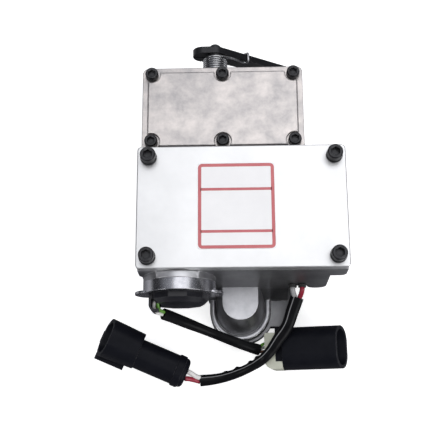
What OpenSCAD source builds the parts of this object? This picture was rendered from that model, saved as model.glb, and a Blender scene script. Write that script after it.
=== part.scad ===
// Engine governor actuator, lying on its mounting face.
// +Z points out of the covers, +Y towards the output lever and +X to the right.
// The origin lies on the mounting face, under the middle of the coil cover.

/* [Coil unit] */
// Width of the coil cover
cover_w = 127; // [122:1:134]
// Length of the coil cover
cover_l = 76; // [72:1:82]
// Thickness of the coil cover
cover_t = 6.4; // [5:0.2:8]
// Corner radius of the coil cover
cover_r = 2.5; // [1.5:0.5:4]
// Step from the linkage cover up to the coil cover
cover_step = 12; // [10:0.5:16]
// Height of the full-width rim of the coil housing
rim_h = 15; // [12:1:18]
// Height of the trunk's underside above the mounting face
trunk_z = 28; // [26:1:30]
// Wall thickness of the castings
wall = 5; // [4:0.5:6]
// Outward flare of the front wall at the mounting face
front_flare = 4.5; // [3:0.5:6]
// Inset of the cover screws from the cover's edges
cover_screw_inset = 7.1; // [6.5:0.1:8]
// Head diameter of the cover screws
cover_screw_head = 9.5; // [8.5:0.1:10]
// Thread diameter of the cover screws
cover_screw_d = 6.35; // [5:0.05:6.35]

/* [Mounting flange and boss] */
// Thickness of the mounting flange
flange_t = 10; // [8:1:12]
// Distance between the mounting holes across the part
mount_dx = 30; // [28:1:32]
// Distance between the mounting holes along the part
mount_dy = 56; // [50:1:60]
// Diameter of the tapped mounting holes
mount_d = 6.8; // [5:0.1:8]
// Depth of the tapped mounting holes
mount_depth = 18; // [12:1:20]
// Height of the boss pad above the mounting face
pad_z = 28; // [24:1:32]
// Radius of the boss pad's round end
pad_r = 11.5; // [10:0.5:13]
// Outer radius of the boss rim
boss_r = 20; // [18:0.5:22]
// Height of the boss rim above the mounting face
boss_rim_z = 14; // [12:1:16]

/* [Linkage unit] */
// Width of the linkage housing
link_w = 102.6; // [98:0.2:108]
// Length of the linkage housing
link_l = 57.4; // [54:0.2:62]
// Height of the linkage cover's face above the mounting face
link_h = 66; // [64:1:70]
// Height of the linkage housing's underside above the mounting face
link_bottom = 16; // [12:1:18]
// Distance from the armature shaft to the left side of the linkage unit
link_side = 23.6; // [21:0.1:26]
// Inset of the linkage cover's raised field
field_inset = 3.6; // [3:0.2:5]
// Height of the linkage cover's raised field
field_h = 2; // [1:0.2:3]
// Head diameter of the linkage cover screws
link_screw_head = 8.3; // [7.5:0.1:8.8]
// Thread diameter of the linkage cover screws
link_screw_d = 4.8; // [4:0.1:5]

/* [Output end] */
// Diameter of the output and armature shafts
shaft_d = 8; // [7:0.5:8.5]
// Sideways distance from the armature shaft to the output shaft
out_side = 22.5; // [21:0.5:24]
// Drop from the armature shaft to the output shaft
out_drop = 11; // [10:0.5:13]
// Radius from the shaft to the lever's end hole
lever_len = 60; // [55:1:64]
// Thickness of the lever
lever_t = 4.5; // [3.5:0.5:6]
// Angle of the lever at rest, below the horizontal
lever_drop = 33; // [28:1:35]
// Working travel of the lever in degrees
lever_travel = 35; // [25:1:40]
// Diameter of the lever's rod holes
lever_hole_d = 6.4; // [5:0.2:7]
// Wire diameter of the return spring
spring_wire = 1.5; // [1.2:0.1:1.8]
// Outer diameter of the return spring
spring_od = 16.5; // [16.3:0.1:17.5]
// Number of turns of the return spring
spring_turns = 10; // [8:1:10]

/* [Armature and linkage] */
// Distance from the chamber wall to the armature shaft
arm_side = 17.5; // [16.5:0.5:19]
// Depth of the armature shaft below the top of the linkage cover
arm_drop = 14; // [13:0.5:15]
// Radius of the armature
armature_r = 10.4; // [9:0.2:11]
// Length of the armature and of the field core
core_l = 34; // [28:1:36]
// Radius of the cranks
crank_r = 12; // [10:0.5:13]
// Diameter of the link pins
link_pin_d = 5; // [4:0.5:5]

/* [Position sensor] */
// Diameter of the sensor boss and cup
cup_d = 44.6; // [43:0.2:46]
// Diameter of the moulded sensor
sensor_d = 36; // [34:0.5:37]
// Reach of the sensor boss from the front wall
boss_reach = 4.2; // [3:0.2:6]
// Reach of the cup from the boss
cup_reach = 5.8; // [5:0.2:7]
// Reach of the moulded sensor from the cup's flange
sensor_reach = 6.2; // [5:0.2:7]

/* [Leads] */
// Diameter of the lead sleeves
sleeve_d = 6.8; // [6:0.1:7]
// Diameter of the single wires
wire_d = 2; // [1.6:0.1:2.2]
// Outer diameter of the coil's two wires
coil_wire_d = 2.6; // [2:0.1:2.8]
// Width of the two-way connector's shroud at its mouth
two_w = 26.6; // [25:0.2:28]
// Width of the three-way connector
three_w = 27.6; // [26:0.2:28.6]
// Wall thickness of the connector shells
shell_t = 2; // [1.5:0.1:2.4]

/* [Hidden] */
$fn = 64;

// Clearances
fit = 0.03;
slip = 0.05;
gap = 0.3;
eps = 0.01;

// Colours
cast_grey = [0.66, 0.66, 0.68];
bright_grey = [0.88, 0.88, 0.89];
steel_grey = [0.6, 0.6, 0.62];
black_oxide = [0.09, 0.09, 0.1];
black_plastic = [0.07, 0.07, 0.08];
fibre_grey = [0.25, 0.25, 0.26];
bronze = [0.65, 0.47, 0.26];

// Levels and faces of the coil unit
gasket_t = 0.8;
unit_h = link_h + cover_step;
rim_top = unit_h - cover_t - gasket_t;
rim_bottom = rim_top - rim_h;
front_y = -cover_l / 2;
rear_y = cover_l / 2;
rim_inset = 0.5;
trunk_left = -cover_w / 2 + 2;
rim_overhang = 10;
trunk_right = cover_w / 2 - rim_overhang;
lump_left = 41;
lump_drop = 3.5;
notch_rise = 2.5;
neck_left = -22.5;
neck_right = 30;
chamber_floor = trunk_z + wall;
chamber_left = trunk_left + wall;
chamber_right = trunk_right - wall;
arm_x = chamber_left + arm_side;
arm_z = link_h - arm_drop;
out_x = arm_x + out_side;
out_z = arm_z - out_drop;
link_x = arm_x - link_side + link_w / 2;
cover_screw_x = cover_w / 2 - cover_screw_inset;
cover_screw_y = cover_l / 2 - cover_screw_inset;
washer_t = 1.6;
cover_screw_l = 20;
foot_reach = 4.3;
foot_rise = 9;
foot_top = boss_rim_z + foot_rise;
foot_y = front_y - front_flare - foot_reach;
function front_at(z) = front_y - front_flare * (rim_top - z) / rim_top;

// Boss and ear on the mounting flange
boss_x = -1.6;
pad_out = 12.2;
pad_y = front_y - pad_out;
step_r = boss_r - 4;
boss_out = 15.8;
step_out = 16.4;
boss_y = front_y - boss_out;
step_y = front_y - step_out;
ear_right = 33;
ear_out = 26;
ear_y = front_y - ear_out;
ear_r = 4;
flange_shift = 1.2;
pocket_r = 8;
pocket_depth = pad_z - wall - 1;

// Levels and faces of the linkage unit
joint_t = 1;
link_front = rear_y + joint_t;
link_rear = link_front + link_l;
link_mid = (link_front + link_rear) / 2;
cover_base_t = 3.2;
link_rim = link_h - field_h - cover_base_t - gasket_t;
link_r = 4;
link_screw_dx = link_w / 2 - 6.1;
link_screw_dy = link_l / 2 - 6;
link_screw_l = 13.5;
link_screw_shift = 0.9;
link_boss_r = 5.3;
spot_d = link_screw_head + 2.6;

// Output shaft and its bearings
nose_r = spring_od / 2 - spring_wire - 0.25;
nose_l = 11.6;
nose_end = link_rear + nose_l;
bush_r = shaft_d / 2 + 1;
bush_flange_r = shaft_d / 2 + 2.5;
bush_flange_t = 1.4;
outer_boss_end = link_rear - wall - 8;
inner_boss_end = link_front + wall + 8;
seal_l = 4;
washer_ring_t = 1.2;
shaft_start = link_front + 3.5;
inner_bush_start = link_front + 3;
shaft_tip = 3.6;
lever_start = nose_end + 7;
lever_end = lever_start + lever_t;
hub_reach = 5;
lever_hub_r = 7;
lever_tip_r = 4.8;
lobe_reach = 8;
slit_w = 1.2;
clamp_d = 3;
clamp_head = 5.5;

// Linkage angles, measured from +X towards +Z
lever_angle = -lever_drop;
link_angle = atan2(out_z - arm_z, out_x - arm_x);
crank_angle = link_angle - 90 - lever_travel / 2;
crank_room = 16;
crank_start = link_front + wall + crank_room;
crank_t = 8;
crank_end = crank_start + crank_t;
crank_hub_r = shaft_d / 2 + 4;
crank_tip_r = link_pin_d / 2 + 2.8;
set_screw_d = 4;
rod_start = crank_end + 0.6;
rod_t = 4;
pin_end = rod_start + rod_t + 1;
open_pivot = 0.3;
function dir(a) = [cos(a), sin(a)];
out_axis = [out_x, out_z];
arm_axis = [arm_x, arm_z];
out_pin = out_axis + crank_r * dir(crank_angle);
arm_pin = arm_axis + crank_r * dir(crank_angle);

// Faces of the washer and ring that keep the shaft from moving endways
thrust_end = outer_boss_end - bush_flange_t - gap;
ring_groove = 0.6;

// Lever and its clamp
lobe_at = out_axis - [lobe_reach, 0];
lever_tip = out_axis + lever_len * dir(lever_angle);
clamp_x = lobe_at[0] + 0.5;

// Return spring
spring_r = (spring_od - spring_wire) / 2;
spring_steps = 16;
spring_start = link_rear + spring_wire / 2 + 0.1;
spring_end = lever_start - 2.6;
coil_start_angle = 250;
coil_end_angle = 90 + lever_angle - 360 * (spring_turns - 1);
spring_anchor = out_axis + spring_r * dir(coil_start_angle + 20);
hook_along = 22;
hook_rise = lever_hub_r - (lever_hub_r - lever_tip_r) * hook_along / lever_len + spring_wire / 2 + 0.4;
hook_side = dir(lever_angle + 90);
function coil_point(a) =
  let (p = out_axis + spring_r * dir(a),
       share = (a - coil_start_angle) / (coil_end_angle - coil_start_angle))
  [p[0], spring_start + share * (spring_end - spring_start), p[1]];
function lever_point(along, side, y) =
  let (p = out_axis + along * dir(lever_angle) + side * hook_side) [p[0], y, p[1]];

// Armature bearings and field core
bearing_r = 11;
bearing_l = 7;
bearing_bore_r = shaft_d / 2;
shaft_hole_r = shaft_d / 2 + 2;
boss_front = front_y - boss_reach;
rear_boss_r = bearing_r + 3;
rear_boss_start = rear_y - bearing_l - 2;
shaft_front = boss_front - 1.3;
tang_l = 3.5;
tang_t = 3;
air_gap = 0.6;
core_left = arm_x - armature_r - air_gap - 3;
limb_w = 12;
limb_side = 14.5;
limb_right = chamber_right - limb_side;
limb_left = limb_right - limb_w;
core_top = rim_top - 1.3;
window_bottom = chamber_floor + 8;
window_top = core_top - 7;
window_left = arm_x + armature_r + 2.6;
pole_slot = 11;
winding_t = 11;
bobbin_wall = 1.2;
core_screw_d = 4;
core_screw_l = 18;
core_screw_head = 7;
core_screw_side = 23;
core_screws_x = [arm_x + core_screw_side, limb_left - winding_t - core_screw_head];

// Screws that join the two castings, as places across and up
joint_screw_side = 7;
joint_screw_mid = 42;
joint_screw_at = [[arm_x - 8, chamber_floor], [arm_x + joint_screw_mid, arm_z],
  [link_x + link_w / 2 - wall - joint_screw_side, chamber_floor + 3]];
joint_screw_d = 5;
joint_screw_head = 8.5;
joint_screw_l = 16;
joint_boss_r = 5;

// Position sensor
cup_front = boss_front - cup_reach;
cup_floor_t = 1.8;
cup_flange_t = 1.4;
flange_front = cup_front - cup_flange_t;
ear_reach = cup_d / 2;
cup_ear_r = 4;
ear_hole_d = 4.2;
spigot_back = boss_front - cup_floor_t - gap;
sensor_front = flange_front - sensor_reach;
sensor_chamfer = 2.6;
sensor_sides = 10;
pod_left = arm_x - sensor_d / 2 - 0.3;
pod_right = pod_left + 8.4;
pod_front = sensor_front - 4.6;
pod_low = arm_z - 8;
pod_high = arm_z + 6;
pod_r = 4;
pod_wall = 1.4;
pod_length = 6.1;
pod_end_t = 3.4;
cup_screw_r = 14;
cup_screw_d = 4;
cup_screw_l = 9;

// Lead outlets in the front wall
grommet_z = trunk_z + 7;
grommet_r = 2.5;
grommet_reach = 2.2;
grommet_x = [31.8, 37.7];
grommet_seat = 6;

// Routes of the leads
coil_route = [[34.7, -47.9, 30], [32.9, -52.8, 29], [31.2, -57.4, 28], [28.9, -64, 26.4], [26.1, -68.9, 25],
  [22.9, -73, 24], [20.4, -76.6, 23], [17.7, -80.4, 21.6], [13.8, -84.6, 20.3], [9.6, -87.6, 16.2], [5, -90, 11.6],
  [-2.4, -93, 7.2], [-11.5, -95.8, 4.4], [-20.1, -97.4, 3.8], [-28.6, -98.2, 3.8]];
coil_red_start = [[37.7, -42.5, 35], [37.7, -43.8, 35], [37.2, -46, 33], [36.2, -48.4, 30.2]];
coil_white_start = [[31.8, -42.5, 35], [31.8, -43.8, 35], [32.2, -45.6, 33], [33.2, -47.4, 30.2]];
coil_red_finish = [[-28.8, -98.6, 3.2], [-32, -97.8, 4.8], [-35.4, -97.2, 7.4], [-38.2, -97, 8.6]];
coil_white_finish = [[-28.8, -96.4, 5], [-31.4, -95.4, 6.4], [-34, -93.8, 8.8], [-36.4, -92.6, 9.6]];
sensor_route = [[-49.2, -60.3, 47], [-44, -61.6, 41.4], [-38, -63.4, 35.2], [-30, -65.9, 28.6], [-21.3, -68.9, 23.6],
  [-12.4, -72.1, 20.4], [-4.1, -75.1, 18.2], [3.2, -77.5, 15.6], [10.4, -79.4, 12.8]];
sensor_white_start = [[-54.6, -52.8, 50], [-54.6, -55.6, 50.4], [-53.6, -58.8, 50], [-51.6, -61, 48.8],
  [-49.3, -61.6, 47.6]];
sensor_brown_start = [[-52.4, -52.8, 47.6], [-52.4, -55.4, 47.8], [-52, -58.2, 47.2], [-50, -60.4, 45.8]];
sensor_green_start = [[-51.4, -52.8, 51.4], [-51.6, -55.2, 52], [-51.2, -57.4, 50.8], [-48.9, -59, 48]];
sensor_white_finish = [[10.3, -79, 10.6], [12.3, -77.9, 9.4], [14.5, -77.2, 8]];
sensor_brown_finish = [[10.6, -80.6, 12.4], [12.3, -80.4, 11.4], [14.2, -80, 10.4]];
sensor_green_finish = [[10.2, -77.6, 13.6], [12, -76.2, 12.4], [13.9, -75.2, 11.4]];

// Two-way connector, from its rear end to its mouth
two_at = [-37.4, -94.2, 8.4];
two_turn = 157.2;
two_tilt = 8;
two_rear_w = 19.5;
two_rear_h = 16;
two_rear_l = 34;
two_l = 57.5;
two_taper = 0.9;
two_shift = -1.5;
two_rail_l = 18;
two_h = 20.4;
two_socket = 20;
two_ramp = 3.6;
mouth_cut = 16;

// Three-way connector, from its rear end to its mouth
three_at = [26.4, -78.6, 10.2];
three_tilt = 12;
three_h = 19;
three_l = 37.5;
three_turn = 0.5;
three_socket = 20;
three_ramp = 7;
lock_l = 11.5;
shoulder_l = 4.5;
shoulder_low = -8.5;
lock_h = 15;
lock_w = three_w - 0.8;

// Flat shapes

module rounded_rect(w, l, r) {
  square([w - 2 * r, l], center = true);
  square([w, l - 2 * r], center = true);
  for (x = [-1, 1], y = [-1, 1])
    translate([x * (w / 2 - r), y * (l / 2 - r)])
      circle(r);
}

module stadium(w, h) {
  square([w - h, h], center = true);
  for (x = [-1, 1])
    translate([x * (w - h) / 2, 0])
      circle(d = h);
}

// Bar with two round ends, p1 with radius r1 and p2 with radius r2
module tangent_bar(p1, r1, p2, r2) {
  span = p2 - p1;
  a = atan2(span[1], span[0]);
  lean = acos((r1 - r2) / norm(span));
  polygon([p1 + r1 * dir(a + lean), p1 + r1 * dir(a - lean), p2 + r2 * dir(a - lean), p2 + r2 * dir(a + lean)]);
  translate(p1)
    circle(r1);
  translate(p2)
    circle(r2);
}

// Outline with a round end at cy towards -Y and straight sides up to y_top
module u_outline(x, cy, r, y_top) {
  translate([x, cy])
    circle(r);
  translate([x - r, cy])
    square([2 * r, y_top - cy]);
}

// Solids laid along an axis

module along_x(x0, x1)
  translate([x0, 0, 0])
    rotate([90, 0, 90])
      linear_extrude(x1 - x0)
        children();

module along_y(y0, y1)
  translate([0, y1, 0])
    rotate([90, 0, 0])
      linear_extrude(y1 - y0)
        children();

module along_z(z0, z1)
  translate([0, 0, z0])
    linear_extrude(z1 - z0)
      children();

module rod_y(axis, r, y0, y1)
  translate([axis[0], y0, axis[1]])
    rotate([-90, 0, 0])
      cylinder(r = r, h = y1 - y0);

module ring_y(axis, r_out, r_in, y0, y1)
  difference() {
    rod_y(axis, r_out, y0, y1);
    rod_y(axis, r_in, y0 - 1, y1 + 1);
  }

module rod_z(x, y, r, z0, z1)
  translate([x, y, z0])
    cylinder(r = r, h = z1 - z0);

// Socket-head screw along +Z, its head standing on z = 0
module cap_screw(head_d, head_h, hex, shank_d, shank_l) {
  socket_depth = head_h / 2;
  difference() {
    cylinder(d = head_d, h = head_h);
    translate([0, 0, head_h - socket_depth])
      cylinder(d = hex / cos(30), h = head_h, $fn = 6);
  }
  translate([0, 0, -shank_l])
    cylinder(d = shank_d, h = shank_l);
}

// Round tube swept along a route

function unit(v) = v / norm(v);
function tangent(p, i) = unit(p[min(i + 1, len(p) - 1)] - p[max(i - 1, 0)]);
function square_to(u, t) = unit(u - (u * t) * t);
function sides_along(p, seed) =
  [for (i = 0, u = square_to(seed, tangent(p, 0)); i < len(p);
        i = i + 1, u = i < len(p) ? square_to(u, tangent(p, i)) : u) u];
function tube_ring(c, t, u, r, n) =
  let (w = cross(t, u)) [for (k = [0:n - 1]) c + r * (cos(360 * k / n) * u + sin(360 * k / n) * w)];

module tube(route, r, n, seed = [0, 0, 1]) {
  u = sides_along(route, seed);
  rings = len(route);
  points = [for (i = [0:rings - 1]) each tube_ring(route[i], tangent(route, i), u[i], r, n)];
  walls = [for (i = [0:rings - 2], k = [0:n - 1])
    [i * n + k, (i + 1) * n + k, (i + 1) * n + (k + 1) % n, i * n + (k + 1) % n]];
  start = [for (k = [0:n - 1]) k];
  finish = [for (k = [n - 1:-1:0]) (rings - 1) * n + k];
  polyhedron(points, concat([start], walls, [finish]), convexity = 6);
}

// Coil unit

module cover_screw_places()
  for (x = [-1, 1], y = [-1, 1])
    translate([x * cover_screw_x, y * cover_screw_y, 0])
      children();

// Outline of the coil housing seen from the front
module trunk_front() {
  rim_corner = 4;
  foot_r = 6;
  translate([-cover_w / 2 + rim_inset, rim_bottom + rim_corner])
    square([cover_w - 2 * rim_inset, rim_h - rim_corner]);
  translate([-cover_w / 2 + rim_inset + rim_corner, rim_bottom])
    square([cover_w - 2 * rim_inset - 2 * rim_corner, rim_corner]);
  for (x = [-1, 1])
    translate([x * (cover_w / 2 - rim_inset - rim_corner), rim_bottom + rim_corner])
      circle(rim_corner);
  translate([trunk_left, trunk_z + foot_r])
    square([lump_left - trunk_left, rim_top - trunk_z - foot_r]);
  translate([trunk_left + foot_r, trunk_z + foot_r])
    circle(foot_r);
  translate([trunk_left + foot_r, trunk_z])
    square([neck_right - trunk_left - foot_r, foot_r]);
  translate([neck_right, trunk_z + notch_rise])
    square([lump_left - neck_right, foot_r]);
  translate([lump_left, trunk_z + foot_r - lump_drop])
    square([trunk_right - lump_left, rim_top - trunk_z - foot_r]);
  translate([(lump_left + trunk_right) / 2, trunk_z + foot_r - lump_drop])
    intersection() {
      circle((trunk_right - lump_left) / 2);
      translate([0, -foot_r])
        square([trunk_right - lump_left, 2 * foot_r], center = true);
    }
  translate([neck_left, 0])
    square([neck_right - neck_left, trunk_z + foot_r]);
}

// Outline of the coil housing seen from the side, with the flared front wall and its sloped foot
module trunk_side()
  polygon([[front_y, rim_top], [front_at(foot_top), foot_top], [foot_y, boss_rim_z], [foot_y, 0], [rear_y, 0],
    [rear_y, rim_top]]);

module boss_and_flange() {
  bead_r = (boss_r - step_r) / 2;
  bead_z = boss_rim_z - bead_r;
  wall_y = front_y + wall;
  along_z(0, flange_t) {
    u_outline(boss_x + flange_shift, boss_y, boss_r + flange_shift, wall_y);
    translate([boss_x, ear_y])
      square([ear_right - boss_x - ear_r, wall_y - ear_y]);
    translate([boss_x, ear_y + ear_r])
      square([ear_right - boss_x, wall_y - ear_y - ear_r]);
    translate([ear_right - ear_r, ear_y + ear_r])
      circle(ear_r);
  }
  along_z(0, bead_z)
    u_outline(boss_x, boss_y, boss_r, wall_y);
  translate([boss_x, boss_y, bead_z])
    rotate([0, 0, 180])
      rotate_extrude(angle = 180)
        translate([boss_r - bead_r, 0])
          circle(bead_r, $fn = 32);
  for (x = [-1, 1])
    translate([boss_x + x * (boss_r - bead_r), boss_y, bead_z])
      rotate([-90, 0, 0])
        cylinder(r = bead_r, h = wall_y - boss_y, $fn = 32);
  hull() {
    along_z(pad_z - 1, pad_z)
      u_outline(boss_x, pad_y, pad_r, wall_y, $fn = 48);
    along_z(bead_z - 1, bead_z)
      u_outline(boss_x, step_y, step_r, wall_y, $fn = 48);
  }
}

module coil_housing()
  color(cast_grey)
    difference() {
      union() {
        difference() {
          union() {
            intersection() {
              along_y(foot_y - 1, rear_y + 1)
                trunk_front();
              along_x(-cover_w, cover_w)
                trunk_side();
            }
            boss_and_flange();
          }
          translate([chamber_left, front_y + wall, chamber_floor])
            cube([chamber_right - chamber_left, cover_l - 2 * wall, rim_top]);
        }
        rod_y(arm_axis, cup_d / 2, boss_front, front_y - gap);
        intersection() {
          rod_y(arm_axis, cup_d / 2, front_y - 1, front_y + wall + 2);
          translate([-cover_w, front_y - 1, 0])
            cube([2 * cover_w, cover_l, rim_top]);
        }
        intersection() {
          rod_y(arm_axis, rear_boss_r, rear_boss_start, rear_y);
          translate([-cover_w, 0, 0])
            cube([2 * cover_w, cover_l, rim_top]);
        }
        for (p = joint_screw_at)
          rod_y(p, joint_boss_r, rear_y - wall - 5, rear_y);
      }
      cover_screw_places()
        rod_z(0, 0, cover_screw_d / 2 + slip, rim_top - cover_screw_l + cover_t, unit_h);
      rod_y(arm_axis, bearing_r + slip, boss_front - 1, boss_front + bearing_l);
      rod_y(arm_axis, shaft_hole_r, boss_front, 0);
      rod_y(arm_axis, bearing_r + slip, rear_y - bearing_l, rear_y + 1);
      rod_y(arm_axis, shaft_hole_r, 0, rear_y);
      for (p = joint_screw_at)
        rod_y(p, joint_screw_d / 2 + slip, rear_y - wall - 6, rear_y + 1);
      for (a = [90, 210, 330])
        rod_y(arm_axis + cup_screw_r * dir(a), cup_screw_d / 2 + slip, boss_front - 1, boss_front + cup_screw_l);
      for (x = [-1, 1], y = [-1, 1])
        rod_z(x * mount_dx / 2, y * mount_dy / 2, mount_d / 2, -1, mount_depth);
      rod_z(boss_x, pad_y, pocket_r, -1, pocket_depth);
      for (x = core_screws_x)
        rod_z(x, 0, core_screw_d / 2 + slip, window_bottom - core_screw_l - 1, rim_top);
      for (x = grommet_x)
        rod_y([x, grommet_z], grommet_r - 0.5, front_y - front_flare, front_y + wall + 1);
    }

module coil_cover() {
  edge = 0.6;
  color(bright_grey)
    difference() {
      union() {
        along_z(unit_h - cover_t, unit_h - edge)
          rounded_rect(cover_w, cover_l, cover_r);
        along_z(unit_h - cover_t, unit_h)
          rounded_rect(cover_w - 2 * edge, cover_l - 2 * edge, cover_r - edge);
      }
      cover_screw_places()
        rod_z(0, 0, cover_screw_d / 2 + gap, unit_h - cover_t - 1, unit_h + 1);
    }
}

module coil_gasket()
  color(fibre_grey)
    difference() {
      along_z(rim_top, rim_top + gasket_t)
        rounded_rect(cover_w - 2, cover_l - 2, cover_r);
      translate([chamber_left, front_y + wall, rim_top - 1])
        cube([chamber_right - chamber_left, cover_l - 2 * wall, gasket_t + 2]);
      cover_screw_places()
        rod_z(0, 0, cover_screw_d / 2 + gap, rim_top - 1, unit_h);
    }

module coil_cover_screws() {
  head_h = 6.4;
  hex = 4.8;
  color(black_oxide)
    cover_screw_places()
      translate([0, 0, unit_h + washer_t])
        cap_screw(cover_screw_head, head_h, hex, cover_screw_d, cover_screw_l);
}

module coil_cover_washers() {
  split = 1;
  color(black_oxide)
    cover_screw_places()
      difference() {
        rod_z(0, 0, cover_screw_head / 2 + 0.3, unit_h, unit_h + washer_t);
        rod_z(0, 0, cover_screw_d / 2 + slip, unit_h - 1, unit_h + washer_t + 1);
        translate([0, -split / 2, unit_h - 1])
          cube([cover_screw_head, split, washer_t + 2]);
      }
}

module nameplate() {
  label_w = 46.4;
  label_l = 53.2;
  label_x = -3.3;
  label_r = 2;
  label_t = 0.3;
  color([0.93, 0.92, 0.9])
    translate([label_x, 0, 0])
      along_z(unit_h, unit_h + label_t)
        rounded_rect(label_w, label_l, label_r);
}

// Linkage unit

module link_screw_places()
  for (x = [-1, 0, 1], y = [-1, 1])
    translate([link_x + x * link_screw_dx, link_mid + link_screw_shift + y * link_screw_dy, 0])
      children();

module link_outline(inset, r)
  translate([link_x, link_mid])
    rounded_rect(link_w - 2 * inset, link_l - 2 * inset, r);

module linkage_housing()
  color(cast_grey)
    difference() {
      union() {
        difference() {
          along_z(link_bottom, link_rim)
            link_outline(0, link_r);
          along_z(link_bottom + wall, link_rim + 1)
            link_outline(wall, link_r / 2);
        }
        intersection() {
          link_screw_places()
            rod_z(0, 0, link_boss_r, link_rim - link_screw_l + 1, link_rim);
          along_z(link_bottom, link_rim)
            link_outline(0, link_r);
        }
        rod_y(out_axis, nose_r, link_rear - 1, nose_end);
        rod_y(out_axis, bush_r + 4, outer_boss_end, link_rear - 1);
        rod_y(out_axis, bush_r + 3, link_front + 1, inner_boss_end);
      }
      link_screw_places()
        rod_z(0, 0, link_screw_d / 2 + slip, link_rim - link_screw_l + 2, link_rim + 1);
      rod_y(out_axis, bush_r + slip, outer_boss_end - 1, nose_end - seal_l);
      rod_y(out_axis, bush_r + slip + 0.5, nose_end - seal_l, nose_end + 1);
      rod_y(out_axis, bush_r + slip, inner_bush_start, inner_boss_end + 1);
      rod_y(arm_axis, shaft_hole_r, link_front - 1, link_front + wall + 1);
      for (p = joint_screw_at)
        rod_y(p, joint_screw_d / 2 + gap, link_front - 1, link_front + wall + 1);
      rod_y(spring_anchor, spring_wire / 2 + gap, link_rear - wall + 1, link_rear + 1);
    }

module linkage_cover()
  color(cast_grey)
    difference() {
      union() {
        along_z(link_rim + gasket_t, link_h - field_h)
          link_outline(0, link_r);
        along_z(link_rim + gasket_t, link_h)
          link_outline(field_inset, link_r / 2);
      }
      link_screw_places()
        rod_z(0, 0, link_screw_d / 2 + gap, link_rim, link_h);
      link_screw_places()
        rod_z(0, 0, spot_d / 2, link_h - field_h, link_h + 1);
    }

module linkage_gasket()
  color(fibre_grey)
    difference() {
      along_z(link_rim, link_rim + gasket_t)
        difference() {
          link_outline(0.5, link_r);
          link_outline(wall + link_boss_r, link_r / 2);
        }
      link_screw_places()
        rod_z(0, 0, link_screw_d / 2 + gap, link_rim - 1, link_h);
    }

module linkage_cover_screws() {
  head_h = 4.8;
  hex = 4;
  color(black_oxide)
    link_screw_places()
      translate([0, 0, link_h - field_h])
        cap_screw(link_screw_head, head_h, hex, link_screw_d, link_screw_l);
}

module joint_gasket() {
  edge = 1.5;
  left = max(trunk_left, link_x - link_w / 2) + edge;
  right = min(lump_left, link_x + link_w / 2) - edge;
  bottom = trunk_z + edge;
  top = link_rim - edge;
  color(fibre_grey)
    difference() {
      translate([left, rear_y, bottom])
        cube([right - left, joint_t, top - bottom]);
      rod_y(arm_axis, bearing_r - 1, rear_y - 1, rear_y + joint_t + 1);
      for (p = joint_screw_at)
        rod_y(p, joint_screw_d / 2 + gap, rear_y - 1, rear_y + joint_t + 1);
    }
}

module joint_screws() {
  head_h = 5;
  hex = 4;
  color(black_oxide)
    for (p = joint_screw_at)
      translate([p[0], link_front + wall, p[1]])
        rotate([-90, 0, 0])
          cap_screw(joint_screw_head, head_h, hex, joint_screw_d, joint_screw_l);
}

// Output end

module inner_bush()
  color(bronze)
    ring_y(out_axis, bush_r, shaft_d / 2 + fit, inner_bush_start + gap, inner_boss_end);

module outer_bush()
  color(bronze)
    difference() {
      union() {
        rod_y(out_axis, bush_r, outer_boss_end, nose_end - seal_l - gap);
        rod_y(out_axis, bush_flange_r, outer_boss_end - bush_flange_t, outer_boss_end);
      }
      rod_y(out_axis, shaft_d / 2 + fit, outer_boss_end - bush_flange_t - 1, nose_end);
    }

module shaft_seal()
  color(black_plastic)
    ring_y(out_axis, bush_r + 0.5, shaft_d / 2 + slip, nose_end - seal_l, nose_end - gap);

module output_shaft() {
  tip_round = 1.2;
  shaft_end = lever_end + shaft_tip;
  color(steel_grey)
    translate([out_x, 0, out_z])
      rotate([-90, 0, 0])
        rotate_extrude()
          polygon([[0, shaft_start], [shaft_d / 2, shaft_start],
            [shaft_d / 2, thrust_end - 2 * washer_ring_t - eps],
            [shaft_d / 2 - ring_groove, thrust_end - 2 * washer_ring_t - eps],
            [shaft_d / 2 - ring_groove, thrust_end - washer_ring_t + eps],
            [shaft_d / 2, thrust_end - washer_ring_t + eps],
            [shaft_d / 2, shaft_end - tip_round], [shaft_d / 2 - tip_round, shaft_end], [0, shaft_end]]);
}

module thrust_washer()
  color(steel_grey)
    ring_y(out_axis, bush_flange_r, shaft_d / 2 + fit, thrust_end - washer_ring_t + 2 * eps, thrust_end);

module shaft_retaining_ring() {
  mouth = 2 * (shaft_d / 2 - ring_groove) - 0.6;
  color(steel_grey)
    difference() {
      ring_y(out_axis, shaft_d / 2 + 2, shaft_d / 2 - ring_groove + fit,
        thrust_end - 2 * washer_ring_t + eps, thrust_end - washer_ring_t - eps);
      translate([out_x - mouth / 2, 0, out_z - shaft_d])
        cube([mouth, link_rear, shaft_d]);
    }
}

// Lever with a split clamp lobe on one side of the shaft and rod holes along the arm
module output_lever() {
  hole_step = 10;
  color(black_oxide)
    difference() {
      union() {
        along_y(lever_start, lever_end) {
          tangent_bar(lobe_at, lever_hub_r, out_axis, lever_hub_r);
          tangent_bar(out_axis, lever_hub_r, lever_tip, lever_tip_r);
        }
        rod_y(out_axis, shaft_d / 2 + 2, lever_start - hub_reach, lever_start);
      }
      rod_y(out_axis, shaft_d / 2 + fit, lever_start - hub_reach - 1, lever_end + 1);
      for (k = [0:2])
        rod_y(out_axis + (lever_len - k * hole_step) * dir(lever_angle), lever_hole_d / 2, lever_start - 1,
          lever_end + 1);
      translate([lobe_at[0] - 2 * lever_hub_r, lever_start - 1, out_z - slit_w / 2])
        cube([2 * lever_hub_r + lobe_reach, lever_t + 2, slit_w]);
      rod_z(clamp_x, (lever_start + lever_end) / 2, clamp_d / 2 + slip, out_z - 2 * lever_hub_r, out_z + 5);
      rod_z(clamp_x, (lever_start + lever_end) / 2, clamp_head / 2 + gap, out_z - 2 * lever_hub_r, out_z - 4);
    }
}

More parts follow.
